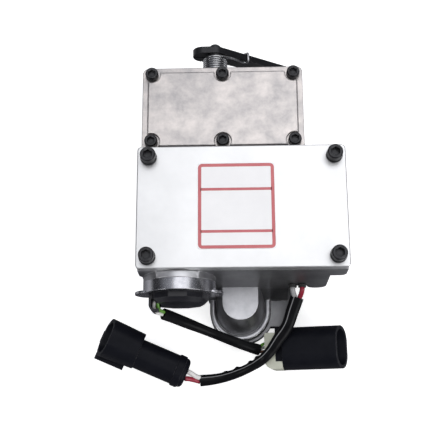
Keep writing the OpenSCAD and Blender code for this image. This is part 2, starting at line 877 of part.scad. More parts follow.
module lever_clamp_screw() {
  head_h = 3;
  hex = 2.5;
  color(black_oxide)
    translate([clamp_x, (lever_start + lever_end) / 2, out_z - 4])
      rotate([180, 0, 0])
        cap_screw(clamp_head, head_h, hex, clamp_d, 8.8);
}

// Torsion spring: an anchor leg into the housing, the coil, and a hook over the lever's upper edge
module return_spring() {
  face_y = lever_start - spring_wire / 2 - gap;
  back_y = lever_end + spring_wire / 2 + gap;
  turn = coil_end_angle - coil_start_angle;
  steps = ceil(-turn / 360 * spring_steps);
  coil = [for (i = [0:steps]) coil_point(coil_start_angle + i * turn / steps)];
  anchor = [[spring_anchor[0], link_rear - wall + 2, spring_anchor[1]],
    [spring_anchor[0], link_rear - 0.4, spring_anchor[1]]];
  hook = [lever_point(4, spring_r, spring_end + 0.3), lever_point(9, spring_r - 1, face_y - 0.4),
    lever_point(14, spring_r - 2.2, face_y), lever_point(hook_along - 3, spring_r - 3, face_y),
    lever_point(hook_along - 0.9, spring_r - 2.8, face_y), lever_point(hook_along, hook_rise - 1.4, face_y),
    lever_point(hook_along, hook_rise - 0.4, face_y + 0.3), lever_point(hook_along, hook_rise, face_y + 1.2),
    lever_point(hook_along, hook_rise, back_y - 1.2), lever_point(hook_along, hook_rise - 0.4, back_y - 0.3),
    lever_point(hook_along, hook_rise - 1.4, back_y), lever_point(hook_along - 0.6, hook_rise - 3.4, back_y)];
  color(steel_grey)
    tube(concat(anchor, coil, hook), spring_wire / 2, 6, [1, 0, 0]);
}

// Parallel linkage between the two shafts

module crank(axis, pin)
  difference() {
    along_y(crank_start, crank_end)
      tangent_bar(axis, crank_hub_r, pin, crank_tip_r);
    rod_y(axis, shaft_d / 2 + fit, crank_start - 1, crank_end + 1);
    rod_y(pin, link_pin_d / 2 + fit, crank_start - 1, crank_end + 1);
    radial_screw(axis, set_screw_d / 2 + fit, crank_hub_r + 1);
  }

// Screw in the crank's hub, on the side away from the pin
module radial_screw(axis, r, reach)
  translate([axis[0], (crank_start + crank_end) / 2, axis[1]])
    rotate([0, -(crank_angle + 180), 0])
      translate([shaft_d / 2 + 2 * fit, 0, 0])
        rotate([0, 90, 0])
          cylinder(r = r, h = reach - shaft_d / 2 - 2 * fit);

module link_pin(pin)
  rod_y(pin, link_pin_d / 2, crank_start, pin_end);

module output_crank()
  color(steel_grey)
    crank(out_axis, out_pin);

module output_link_pin()
  color(steel_grey)
    link_pin(out_pin);

module crank_set_screw()
  color(black_oxide)
    radial_screw(out_axis, set_screw_d / 2, crank_hub_r - 0.2);

module armature_crank()
  color(steel_grey)
    crank(arm_axis, arm_pin);

module armature_link_pin()
  color(steel_grey)
    link_pin(arm_pin);

module armature_set_screw()
  color(black_oxide)
    radial_screw(arm_axis, set_screw_d / 2, crank_hub_r - 0.2);

module drag_link()
  color(steel_grey)
    difference() {
      along_y(rod_start, rod_start + rod_t)
        tangent_bar(out_pin, crank_tip_r, arm_pin, crank_tip_r);
      rod_y(out_pin, link_pin_d / 2 + fit, rod_start - 1, rod_start + rod_t + 1);
      rod_y(arm_pin, link_pin_d / 2 + open_pivot, rod_start - 1, rod_start + rod_t + 1);
    }

// Armature and field

module armature_shaft()
  color(steel_grey) {
    rod_y(arm_axis, shaft_d / 2, shaft_front, crank_end + 0.5);
    translate([arm_x - tang_t / 2, shaft_front - tang_l, arm_z - shaft_d / 2 + 0.5])
      cube([tang_t, tang_l, shaft_d - 1]);
  }

module armature() {
  lobe_w = armature_r * 1.5;
  color(steel_grey)
    difference() {
      intersection() {
        rod_y(arm_axis, armature_r, -core_l / 2, core_l / 2);
        translate([arm_x - armature_r, -core_l / 2, arm_z - lobe_w / 2])
          cube([2 * armature_r, core_l, lobe_w]);
      }
      rod_y(arm_axis, shaft_d / 2 + fit, -core_l, core_l);
    }
}

module ball_bearing(y0) {
  race = 2.2;
  recess = 0.8;
  difference() {
    ring_y(arm_axis, bearing_r, bearing_bore_r + fit, y0, y0 + bearing_l);
    ring_y(arm_axis, bearing_r - race, bearing_bore_r + race, y0 - 1, y0 + recess);
    ring_y(arm_axis, bearing_r - race, bearing_bore_r + race, y0 + bearing_l - recess, y0 + bearing_l + 1);
  }
}

module front_bearing()
  color(steel_grey)
    ball_bearing(boss_front);

module rear_bearing()
  color(steel_grey)
    ball_bearing(rear_y - bearing_l);

module field_core()
  color([0.35, 0.36, 0.38])
    difference() {
      along_y(-core_l / 2, core_l / 2)
        difference() {
          translate([core_left, chamber_floor])
            square([limb_right - core_left, core_top - chamber_floor]);
          translate(arm_axis)
            circle(armature_r + air_gap);
          translate([core_left - 1, arm_z - pole_slot / 2])
            square([window_left - core_left + 2, pole_slot]);
          translate([window_left, window_bottom])
            square([limb_left - window_left, window_top - window_bottom]);
        }
      for (x = core_screws_x)
        rod_z(x, 0, core_screw_d / 2 + slip, chamber_floor - 1, window_bottom + 1);
    }

module core_screws() {
  head_h = 4;
  hex = 3;
  color(black_oxide)
    for (x = core_screws_x)
      translate([x, 0, window_bottom])
        cap_screw(core_screw_head, head_h, hex, core_screw_d, core_screw_l);
}

// Rectangle round the coil limb, grown by a margin
module limb_outline(margin)
  translate([limb_left - margin, -core_l / 2 - margin])
    square([limb_right - limb_left + 2 * margin, core_l + 2 * margin]);

module coil_bobbin()
  color([0.85, 0.82, 0.7])
    difference() {
      union() {
        along_z(window_bottom + gap, window_top - gap)
          limb_outline(gap + bobbin_wall);
        along_z(window_bottom + gap, window_bottom + gap + bobbin_wall)
          limb_outline(winding_t);
        along_z(window_top - gap - bobbin_wall, window_top - gap)
          limb_outline(winding_t);
      }
      along_z(window_bottom - 1, window_top + 1)
        limb_outline(gap);
    }

module coil_winding()
  color([0.6, 0.3, 0.15])
    along_z(window_bottom + 2 * gap + bobbin_wall, window_top - 2 * gap - bobbin_wall)
      difference() {
        limb_outline(winding_t - 0.5);
        limb_outline(gap + bobbin_wall + slip);
      }

// Position sensor

module sensor_cup()
  color(bright_grey)
    difference() {
      union() {
        rod_y(arm_axis, cup_d / 2, cup_front, boss_front);
        along_y(flange_front, cup_front) {
          translate(arm_axis)
            circle(d = cup_d);
          for (x = [-1, 1])
            tangent_bar(arm_axis, cup_d / 2 - 4, arm_axis + [x * ear_reach, 0], cup_ear_r);
        }
      }
      rod_y(arm_axis, sensor_d / 2 + slip, flange_front - 1, boss_front - cup_floor_t);
      rod_y(arm_axis, shaft_hole_r + 1, flange_front, boss_front + 1);
      for (a = [90, 210, 330])
        rod_y(arm_axis + cup_screw_r * dir(a), cup_screw_d / 2 + slip, flange_front, boss_front + 1);
      for (x = [-1, 1])
        rod_y(arm_axis + [x * ear_reach, 0], ear_hole_d / 2, flange_front - 1, cup_front + 1);
    }

module cup_screws() {
  head_h = 1.2;
  color(steel_grey)
    for (a = [90, 210, 330]) {
      p = arm_axis + cup_screw_r * dir(a);
      rod_y(p, cup_screw_d / 2, boss_front - cup_floor_t, boss_front + cup_screw_l - 1);
      rod_y(p, cup_screw_d / 2 + 1.5, boss_front - cup_floor_t - head_h, boss_front - cup_floor_t);
    }
}

// Wire outlet of the sensor, a trough with a round front end, seen from above
module pod_outline(inset) {
  r = pod_r - inset;
  left = pod_left + inset;
  right = pod_right - inset;
  front = pod_front + inset;
  translate([left, front + r])
    square([right - left, flange_front - front - r]);
  translate([left + r, front])
    square([right - left - 2 * r, r]);
  for (x = [left + r, right - r])
    translate([x, front + r])
      circle(r);
}

module position_sensor() {
  prism_r = sensor_d / 2;
  socket_r = shaft_d / 2 + 0.4;
  head_room = 1.6;
  chamfer_y = sensor_front + sensor_chamfer;
  color(black_plastic)
    difference() {
      union() {
        difference() {
          rod_y(arm_axis, prism_r, flange_front, spigot_back);
          for (a = [90, 210, 330])
            rod_y(arm_axis + cup_screw_r * dir(a), cup_screw_d / 2 + 2, spigot_back - head_room, spigot_back + 1);
        }
        translate([arm_x, flange_front, arm_z])
          rotate([90, 0, 0])
            cylinder(r = prism_r, h = flange_front - chamfer_y, $fn = sensor_sides);
        translate([arm_x, chamfer_y, arm_z])
          rotate([90, 0, 0])
            cylinder(r1 = prism_r, r2 = prism_r - sensor_chamfer, h = sensor_chamfer, $fn = sensor_sides);
        along_z(pod_low, pod_high)
          pod_outline(0);
      }
      along_z(pod_low + pod_wall, pod_high + 1)
        intersection() {
          pod_outline(pod_wall);
          translate([pod_left, pod_front])
            square([pod_right - pod_left, flange_front - pod_front - pod_end_t]);
        }
      translate([pod_left + pod_length, pod_front - 1, pod_low - 1])
        cube([pod_right - pod_left, sensor_front - pod_front + 1, pod_high - pod_low + 2]);
      rod_y(arm_axis, socket_r, shaft_front - tang_l - gap, spigot_back + 1);
    }
}

// Leads and connectors

module lead_grommets()
  color(black_plastic)
    for (x = grommet_x) {
      face = front_at(grommet_z);
      difference() {
        union() {
          rod_y([x, grommet_z], grommet_r, face - grommet_reach, front_at(grommet_z - grommet_r));
          rod_y([x, grommet_z], grommet_r - 0.5 - slip, face - 1, face + grommet_seat - 2);
        }
        rod_y([x, grommet_z], wire_d / 4, face + 1, face + grommet_seat);
      }
    }

module coil_sleeve()
  color(black_plastic)
    tube(coil_route, sleeve_d / 2, 10);

module coil_red_inlet()
  color([0.6, 0.08, 0.1])
    tube(coil_red_start, coil_wire_d / 2, 8);

module coil_white_inlet()
  color([0.9, 0.9, 0.9])
    tube(coil_white_start, coil_wire_d / 2, 8);

module coil_red_end()
  color([0.6, 0.08, 0.1])
    tube(coil_red_finish, coil_wire_d / 2, 8);

module coil_white_end()
  color([0.9, 0.9, 0.9])
    tube(coil_white_finish, coil_wire_d / 2, 8);

module sensor_sleeve()
  color(black_plastic)
    tube(sensor_route, sleeve_d / 2, 10);

module sensor_white_outlet()
  color([0.9, 0.9, 0.9])
    tube(sensor_white_start, wire_d / 2, 8);

module sensor_brown_outlet()
  color([0.35, 0.2, 0.12])
    tube(sensor_brown_start, wire_d / 2, 8);

module sensor_green_outlet()
  color([0.35, 0.65, 0.2])
    tube(sensor_green_start, wire_d / 2, 8);

module sensor_white_end()
  color([0.9, 0.9, 0.9])
    tube(sensor_white_finish, wire_d / 2, 8);

module sensor_brown_end()
  color([0.35, 0.2, 0.12])
    tube(sensor_brown_finish, wire_d / 2, 8);

module sensor_green_end()
  color([0.35, 0.65, 0.2])
    tube(sensor_green_finish, wire_d / 2, 8);

module place_two_way()
  translate(two_at)
    rotate([0, -two_tilt, two_turn])
      children();

// Slanted cut across a connector's mouth, longest at the latch side
module mouth_slant(l, h)
  translate([l, 0, 0])
    rotate([0, -mouth_cut, 0])
      translate([0, -2 * h, -3 * h])
        cube([h, 4 * h, 6 * h]);

module two_way_connector() {
  step_x = two_rear_l;
  collar_w = two_rear_w + 1.6;
  rail_w = 4.4;
  rail_t = 4;
  foot_z = -two_h / 2 - two_ramp;
  spare = 6;
  color(black_plastic)
    place_two_way()
      difference() {
        union() {
          along_x(0, step_x + 1)
            stadium(two_rear_w, two_rear_h);
          along_x(3, 8)
            stadium(collar_w, two_rear_h + 0.6);
          translate([step_x, two_shift, 0])
            rotate([90, 0, 90])
              linear_extrude(two_l + spare - step_x, scale = 1 / two_taper, $fn = 48)
                stadium(two_w * two_taper, two_h * two_taper);
          along_x(two_l - two_rail_l, two_l + spare)
            translate([two_w / 2 - 4, -two_h / 4 - rail_t / 2])
              square([rail_w, rail_t]);
          translate([0, two_shift + 4, 0])
            rotate([90, 0, 0])
              linear_extrude(8)
                polygon([[step_x + 2, -two_h / 2 + 2], [step_x + 10, foot_z], [step_x + 15, foot_z],
                  [two_l + spare, -two_h / 2 - 1], [two_l + spare, -two_h / 2 + 2]]);
        }
        translate([0, two_shift, 0])
          along_x(two_l - two_socket, two_l + 2 * spare)
            stadium(two_w * two_taper - 2 * shell_t + 1, two_h * two_taper - 2 * shell_t + 1);
        mouth_slant(two_l, two_h);
      }
}

// Flat contacts standing in a socket, side by side
module contacts(count, pitch, base, reach) {
  blade_w = 2.8;
  blade_t = 0.8;
  for (k = [0:count - 1])
    translate([base, (k - (count - 1) / 2) * pitch - blade_w / 2, -blade_t / 2])
      cube([reach, blade_w, blade_t]);
}

module two_way_contacts()
  color([0.75, 0.7, 0.55])
    place_two_way()
      translate([0, two_shift, 0])
        contacts(2, 9, two_l - two_socket, 11);

module place_three_way()
  translate(three_at)
    rotate([0, -three_tilt, three_turn])
      children();

module three_way_connector() {
  ramp_start = 20;
  ramp_peak = 7;
  ramp_back = 4;
  ramp_end = 2;
  color(black_plastic)
    place_three_way()
      difference() {
        union() {
          along_x(0, three_l + 6)
            stadium(three_w, three_h);
          translate([-shoulder_l, shoulder_low, -lock_h / 2])
            cube([shoulder_l + 1, lock_w / 2 - shoulder_low, lock_h]);
          translate([0, 5, 0])
            rotate([90, 0, 0])
              linear_extrude(10)
                polygon([[three_l - ramp_start, -three_h / 2 + 1], [three_l - ramp_peak, -three_h / 2 - three_ramp],
                  [three_l - ramp_back, -three_h / 2 - three_ramp], [three_l - ramp_end, -three_h / 2 + 1]]);
        }
        along_x(three_l - three_socket, three_l + 7)
          stadium(three_w - 2 * shell_t, three_h - 2 * shell_t);
        mouth_slant(three_l, three_h);
      }
}

module three_way_contacts()
  color([0.75, 0.7, 0.55])
    place_three_way()
      contacts(3, 7, three_l - three_socket, 11);

module terminal_lock() {
  corner = lock_l / 2;
  color([0.82, 0.83, 0.74])
    place_three_way()
      difference() {
        along_z(-lock_h / 2, lock_h / 2) {
          translate([-lock_l + corner, -lock_w / 2])
            square([lock_l - corner, lock_w]);
          translate([-lock_l, -lock_w / 2 + corner])
            square([corner, lock_w - 2 * corner]);
          for (y = [-1, 1])
            translate([-lock_l + corner, y * (lock_w / 2 - corner)])
              circle(corner);
        }
        translate([-shoulder_l, shoulder_low, -lock_h])
          cube([shoulder_l + 1, lock_w, 2 * lock_h]);
      }
}

coil_housing();
coil_cover();
coil_gasket();
coil_cover_screws();
coil_cover_washers();
nameplate();
linkage_housing();
linkage_cover();
linkage_gasket();
linkage_cover_screws();
joint_gasket();
joint_screws();
inner_bush();
outer_bush();
shaft_seal();
output_shaft();
thrust_washer();
shaft_retaining_ring();
output_lever();
lever_clamp_screw();
return_spring();
output_crank();
output_link_pin();
crank_set_screw();
drag_link();
armature_crank();
armature_link_pin();
armature_set_screw();
armature_shaft();
armature();
front_bearing();
rear_bearing();
field_core();
core_screws();
coil_bobbin();
coil_winding();
sensor_cup();
cup_screws();
position_sensor();
lead_grommets();
coil_sleeve();
coil_red_inlet();
coil_white_inlet();
coil_red_end();
coil_white_end();
two_way_connector();
two_way_contacts();
sensor_sleeve();
sensor_white_outlet();
sensor_brown_outlet();
sensor_green_outlet();
sensor_white_end();
sensor_brown_end();
sensor_green_end();
three_way_connector();
three_way_contacts();
terminal_lock();
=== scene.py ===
import math

import bmesh
import bpy
from mathutils import Matrix, Vector


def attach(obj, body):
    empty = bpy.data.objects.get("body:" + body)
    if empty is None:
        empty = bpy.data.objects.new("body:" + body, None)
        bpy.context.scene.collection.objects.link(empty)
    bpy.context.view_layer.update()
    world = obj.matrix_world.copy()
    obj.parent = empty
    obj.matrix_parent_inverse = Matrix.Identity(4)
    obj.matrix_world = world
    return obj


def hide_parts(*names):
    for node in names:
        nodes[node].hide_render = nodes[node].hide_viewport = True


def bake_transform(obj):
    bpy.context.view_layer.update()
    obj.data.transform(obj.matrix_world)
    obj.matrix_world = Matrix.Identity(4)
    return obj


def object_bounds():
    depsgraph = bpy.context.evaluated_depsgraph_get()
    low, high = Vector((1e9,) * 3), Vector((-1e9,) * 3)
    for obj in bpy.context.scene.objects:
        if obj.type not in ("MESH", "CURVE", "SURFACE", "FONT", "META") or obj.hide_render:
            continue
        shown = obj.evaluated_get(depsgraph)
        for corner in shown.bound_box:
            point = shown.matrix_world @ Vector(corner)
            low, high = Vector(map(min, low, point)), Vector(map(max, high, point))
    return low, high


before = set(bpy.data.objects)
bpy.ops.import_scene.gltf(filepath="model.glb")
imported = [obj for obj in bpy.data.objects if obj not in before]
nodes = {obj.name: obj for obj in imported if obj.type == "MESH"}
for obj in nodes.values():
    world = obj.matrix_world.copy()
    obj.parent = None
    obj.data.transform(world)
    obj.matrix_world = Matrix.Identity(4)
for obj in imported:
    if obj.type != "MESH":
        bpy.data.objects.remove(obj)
cad_low, cad_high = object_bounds()


# Viewpoint: a long lens over the front edge, 15 degrees off the covers' normal.
# The image is 430 pixels square, so the focal length in pixels gives the lens.
MM = 0.001
IMAGE_PX = 430
FOCAL_PX = 831
SENSOR_MM = 36
EYE = (-2.479, -134.206, 557.272)
TILT, YAW, ROLL = (math.radians(a) for a in (15, -1.5746, -0.7202))


def stand(name, data):
    """An object made of the given data, put into the scene."""
    made = bpy.data.objects.new(name, data)
    bpy.context.scene.collection.objects.link(made)
    return made


look = Vector((math.sin(YAW), math.sin(TILT), -math.cos(TILT))).normalized()
level = (Vector((1, 0, 0)) - look * look.x).normalized()
upright = level.cross(look)
right = level * math.cos(ROLL) + upright * math.sin(ROLL)
above = upright * math.cos(ROLL) - level * math.sin(ROLL)
lens = bpy.data.cameras.new("viewpoint")
lens.sensor_width = SENSOR_MM
lens.lens = FOCAL_PX / IMAGE_PX * SENSOR_MM
lens.clip_start, lens.clip_end = 0.01, 20
camera = stand("viewpoint", lens)
aim = Matrix((right, above, -look)).transposed().to_4x4()
camera.matrix_world = Matrix.Translation(Vector(EYE) * MM) @ aim
bpy.context.scene.camera = camera


# Leads: two lay-flat vinyl sleeves over stranded wires, black outside, each wire in its own colour.
# A sleeve lies where its solid does; the bare wire ends run into the sensor, the casting and the
# connectors, and the sleeves are slipped over them without a clip.
WIRE_D = 2 * MM
COIL_WIRE_D = 3.2 * MM
ROUTE_STEPS = 8
BLACK = (0, 0, 0, 1)


def add(tree, kind, settings=None, **inputs):
    """One shader node; each input is a plain value or another node's output."""
    made = tree.nodes.new("ShaderNode" + kind)
    for key, value in (settings or {}).items():
        setattr(made, key, value)
    for key, value in inputs.items():
        join(tree, made.inputs[key.replace("_", " ")], value)
    return made


def join(tree, socket, value):
    """Feeds a socket from another node's output, or sets it to a plain value."""
    if isinstance(value, bpy.types.NodeSocket):
        tree.links.new(value, socket)
    else:
        socket.default_value = value


def reckon(tree, kind, operation, *values, **settings):
    """A Math or VectorMath node on its values in order."""
    made = add(tree, kind, {"operation": operation, **settings})
    for socket, value in zip(made.inputs, values):
        join(tree, socket, value)
    return made


def mixed(tree, share, a, b):
    """A colour between a and b."""
    made = tree.nodes.new("ShaderNodeMix")
    made.data_type = "RGBA"
    for index, value in ((0, share), (6, a), (7, b)):
        join(tree, made.inputs[index], value)
    return made.outputs[2]


def shader_group(name, inputs, outputs):
    """An empty effect with named inputs and outputs: its tree, and the sockets inside it."""
    group = bpy.data.node_groups.new(name, "ShaderNodeTree")
    for label, value in inputs.items():
        socket = group.interface.new_socket(label, in_out="INPUT", socket_type="NodeSocketFloat")
        socket.default_value = value
    for label, kind in outputs.items():
        group.interface.new_socket(label, in_out="OUTPUT", socket_type="NodeSocket" + kind)
    return group, group.nodes.new("NodeGroupInput").outputs, group.nodes.new("NodeGroupOutput").inputs


# Grain: a fine skin and a broad, slow change of tone, both fixed to the piece
grain, given, out = shader_group("grain", {"Fine": 900, "Broad": 60}, {"Height": "Float", "Tone": "Float"})
place = add(grain, "TexCoord").outputs["Object"]
fine = add(grain, "TexNoise", Vector=place, Scale=given["Fine"], Detail=3.0, Roughness=0.6)
broad = add(grain, "TexNoise", Vector=place, Scale=given["Broad"], Detail=4.0, Roughness=0.65)
spread = add(grain, "MapRange", Value=broad.outputs["Fac"], From_Min=0.32, From_Max=0.68)
join(grain, out["Height"], fine.outputs["Fac"])
join(grain, out["Tone"], spread.outputs[0])

# Edge wear: a rounded normal at the corners, and a broken mask where handling has rubbed them
edges, given, out = shader_group("edge_wear", {"Width": 0.0005, "Amount": 0.5},
    {"Mask": "Float", "Normal": "Vector"})
rounded = add(edges, "Bevel", {"samples": 6}, Radius=given["Width"])
flat = add(edges, "NewGeometry").outputs["Normal"]
facing = reckon(edges, "VectorMath", "DOT_PRODUCT", rounded.outputs[0], flat)
corner = add(edges, "MapRange", Value=facing.outputs["Value"], From_Min=0.995, From_Max=0.86)
rub = add(edges, "TexNoise", Vector=add(edges, "TexCoord").outputs["Object"], Scale=420.0, Detail=4.0)
patches = add(edges, "MapRange", Value=rub.outputs["Fac"], From_Min=0.38, From_Max=0.62)
worn = reckon(edges, "Math", "MULTIPLY", corner.outputs[0], patches.outputs[0])
share = reckon(edges, "Math", "MULTIPLY", worn.outputs[0], given["Amount"], use_clamp=True)
join(edges, out["Mask"], share.outputs[0])
join(edges, out["Normal"], rounded.outputs[0])

# Heights between which the painted shade low down fades out.
SHADE_BELOW, UNSHADED_ABOVE = 10.2 * MM, 13 * MM


def finish(name, dark, light, metallic=0.0, rough=(0.4, 0.55), fine=900, broad=60, depth=0.02,
           rubbed=None, width=0.4, amount=0.6, low_shade=1.0, **shine):
    """A surface of two close tones with its grain, and rubbed edges; depth and width are in mm, and the share
    given for low down is how much of its tone is left there, a painted shade that darkens towards the bottom."""
    made = bpy.data.materials.new(name)
    made.use_nodes = True
    tree = made.node_tree
    shader = tree.nodes["Principled BSDF"]
    skin = add(tree, "Group", {"node_tree": grain}, Fine=fine, Broad=broad).outputs
    wear = add(tree, "Group", {"node_tree": edges}, Width=width * MM, Amount=amount).outputs
    tone = mixed(tree, skin["Tone"], (*dark, 1), (*light, 1))
    # Painted shade: the tone is darkened low down and fades out between the two heights.
    if low_shade < 1:
        height = add(tree, "SeparateXYZ", Vector=add(tree, "TexCoord").outputs["Object"]).outputs["Z"]
        above_shade = add(tree, "MapRange", {"interpolation_type": "SMOOTHSTEP"}, Value=height,
            From_Min=SHADE_BELOW, From_Max=UNSHADED_ABOVE)
        tone = mixed(tree, above_shade.outputs[0], mixed(tree, low_shade, BLACK, tone), tone)
    gloss = add(tree, "MapRange", Value=skin["Height"], To_Min=rough[0], To_Max=rough[1])
    bump = add(tree, "Bump", Strength=1.0, Distance=depth * MM, Height=skin["Height"], Normal=wear["Normal"])
    join(tree, shader.inputs["Base Color"], mixed(tree, wear["Mask"], tone, (*(rubbed or light), 1)))
    join(tree, shader.inputs["Roughness"], gloss.outputs[0])
    join(tree, shader.inputs["Normal"], bump.outputs[0])
    shader.inputs["Metallic"].default_value = metallic
    for key, value in shine.items():
        shader.inputs[key.replace("_", " ")].default_value = value
    return made


def attribute(material, name):
    """A material's tree, the value of an attribute of its piece, and its base colour socket."""
    tree = material.node_tree
    value = add(tree, "Attribute", {"attribute_name": name}).outputs["Fac"]
    return tree, value, tree.nodes["Principled BSDF"].inputs["Base Color"]


def smooth_route(points):
    """Points in mm as a dense smooth line through all of them, in metres."""
    way = [Vector(p) * MM for p in points]
    way = [2 * way[0] - way[1], *way, 2 * way[-1] - way[-2]]
    line = []
    for a, b, c, d in zip(way, way[1:], way[2:], way[3:]):
        for k in range(ROUTE_STEPS):
            t = k / ROUTE_STEPS
            line.append(0.5 * (2 * b + (c - a) * t + (2 * a - 5 * b + 4 * c - d) * t ** 2
                + (3 * b - a - 3 * c + d) * t ** 3))
    return line + [way[-2]]


def length_of(line):
    return sum((b - a).length for a, b in zip(line, line[1:]))


def round_wire(name, line, radius, resolution):
    """A curve of one open spline with a round section and closed ends."""
    curve = bpy.data.curves.new(name, "CURVE")
    curve.dimensions = "3D"
    curve.bevel_depth = radius
    curve.bevel_resolution = resolution
    curve.use_fill_caps = True
    spline = curve.splines.new("POLY")
    spline.points.add(len(line) - 1)
    for point, p in zip(spline.points, line):
        point.co = (*p, 1)
    spline.use_smooth = True
    return curve


def smooth_mesh(name, work, material, sharp):
    """Turns a finished bmesh into a mesh, shaded smooth up to an angle in degrees."""
    mesh = bpy.data.meshes.new(name)
    work.to_mesh(mesh)
    work.free()
    mesh.shade_smooth()
    mesh.set_sharp_from_angle(angle=math.radians(sharp))
    mesh.materials.append(material)
    return mesh


def fix(piece, body, slot, *stands_for):
    """Puts a piece on its body, in place of its nodes."""
    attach(piece, body)
    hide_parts(*stands_for)
    return piece


vinyl = finish("black_vinyl", (0.004, 0.004, 0.005), (0.008, 0.008, 0.009), rough=(0.24, 0.36), fine=700,
    broad=160, depth=0.03, rubbed=(0.16, 0.16, 0.165), width=0.3, amount=0.5, Specular_IOR_Level=0.07)
# The crease ridge is painted pale: partly stress-whitened wear, partly a painted highlight along the fold.
CREASE_WEAR_AND_HIGHLIGHT = (0.34, 0.34, 0.35, 1)
tree, crease, coat = attribute(vinyl, "crease")
join(tree, coat, mixed(tree, crease, coat.links[0].from_socket, CREASE_WEAR_AND_HIGHLIGHT))


def insulation(name, dark, light, rough=(0.3, 0.42)):
    return finish(name + "_insulation", dark, light, rough=rough, fine=1500)


wire_red = insulation("red", (0.22, 0.006, 0.022), (0.33, 0.014, 0.04))
wire_white = insulation("white", (0.66, 0.64, 0.63), (0.8, 0.79, 0.78), rough=(0.35, 0.48))
# A darker copy of the white insulation: painted shade on the coil's white wire where it leaves the casting.
wire_white_in_shade = insulation("white_in_shade", (0.30, 0.30, 0.31), (0.44, 0.435, 0.43), rough=(0.4, 0.55))
wire_brown = insulation("brown", (0.10, 0.045, 0.03), (0.15, 0.07, 0.045))
wire_green = insulation("green", (0.10, 0.27, 0.035), (0.15, 0.36, 0.05))

wire_ends = {
    "coil_red_inlet": (wire_red,
        [(37.7, -42.5, 35), (37.7, -43.8, 35), (37.2, -46, 33), (36.2, -48.4, 30.2)]),
    # The white inlet wire uses the darker copy: painted shade under the casting.
    "coil_white_inlet": (wire_white_in_shade,
        [(31.8, -42.5, 35), (31.8, -43.8, 35), (32.2, -45.6, 33), (33.2, -47.4, 30.2)]),
    "coil_red_end": (wire_red,
        [(-28.8, -98.6, 3.2), (-32, -97.8, 4.8), (-35.4, -97.2, 7.4), (-38.2, -97, 8.6)]),
    "coil_white_end": (wire_white,
        [(-28.8, -96.4, 5), (-31.4, -95.4, 6.4), (-34, -93.8, 8.8), (-36.4, -92.6, 9.6)]),
    "sensor_white_outlet": (wire_white,
        [(-53.8, -52.8, 53.4), (-54.4, -55.4, 54), (-54.2, -58, 53), (-52.6, -60, 50.6),
         (-49.6, -60.9, 47.6)]),
    "sensor_brown_outlet": (wire_brown,
        [(-52.6, -52.8, 50.4), (-53, -55, 51.2), (-52.6, -57.4, 50.6), (-51.4, -59.2, 49),
         (-49.4, -60.3, 47)]),
    "sensor_green_outlet": (wire_green,
        [(-51, -52.8, 54.2), (-51.9, -54.6, 54.8), (-51.9, -57, 53.4), (-50.9, -58.6, 51),
         (-48.6, -59.4, 48)]),
    "sensor_white_end": (wire_white, [(10.3, -79, 10.6), (12.3, -77.9, 9.4), (14.5, -77.2, 8)]),
    "sensor_brown_end": (wire_brown, [(10.6, -80.6, 12.4), (12.3, -80.4, 11.4), (14.2, -80, 10.4)]),
    "sensor_green_end": (wire_green, [(10.2, -77.6, 13.6), (12, -76.2, 12.4), (13.9, -75.2, 11.4)]),
}
for node, (material, points) in wire_ends.items():
    size = COIL_WIRE_D if node.startswith("coil") else WIRE_D
    curve = round_wire("lead_" + node, smooth_route(points), size / 2, resolution=6)
    curve.materials.append(material)
    fix(stand("lead_" + node, curve), "casing", "wire_" + node.split("_")[1], node)

coil_line = smooth_route([(34.7, -47.9, 30), (32.9, -52.8, 29), (31.2, -57.4, 28), (28.9, -64, 26.4),
    (26.1, -68.9, 25), (22.9, -73, 24), (20.4, -76.6, 23), (17.7, -80.4, 21.6), (13.8, -84.6, 20.3),
    (9.6, -87.6, 16.2), (5, -90, 11.6), (-2.4, -93, 7.2), (-11.5, -95.8, 4.4), (-20.1, -97.4, 3.8),
    (-28.6, -98.2, 3.8)])
sensor_line = smooth_route([(-49.2, -60.3, 47), (-44, -61.6, 41.4), (-38, -63.4, 35.2), (-30, -65.9, 28.6),
    (-21.3, -68.9, 23.6), (-12.4, -72.1, 20.4), (-4.1, -75.1, 18.2), (3.2, -77.5, 15.6),
    (10.4, -79.4, 12.8)])
TUBE_SIDES = 56
CREASE_RISE, PUCKER_REACH = 0.25, 0.016
BORE_SHARE, BORE_STEPS = 0.78, 3


def along(t, *stations):
    """A value between neighbouring (place, value) stations, eased."""
    for (t0, a), (t1, b) in zip(stations, stations[1:]):
        if t <= t1:
            u = (t - t0) / (t1 - t0)
            return a + (b - a) * u * u * (3 - 2 * u)
    return stations[-1][1]


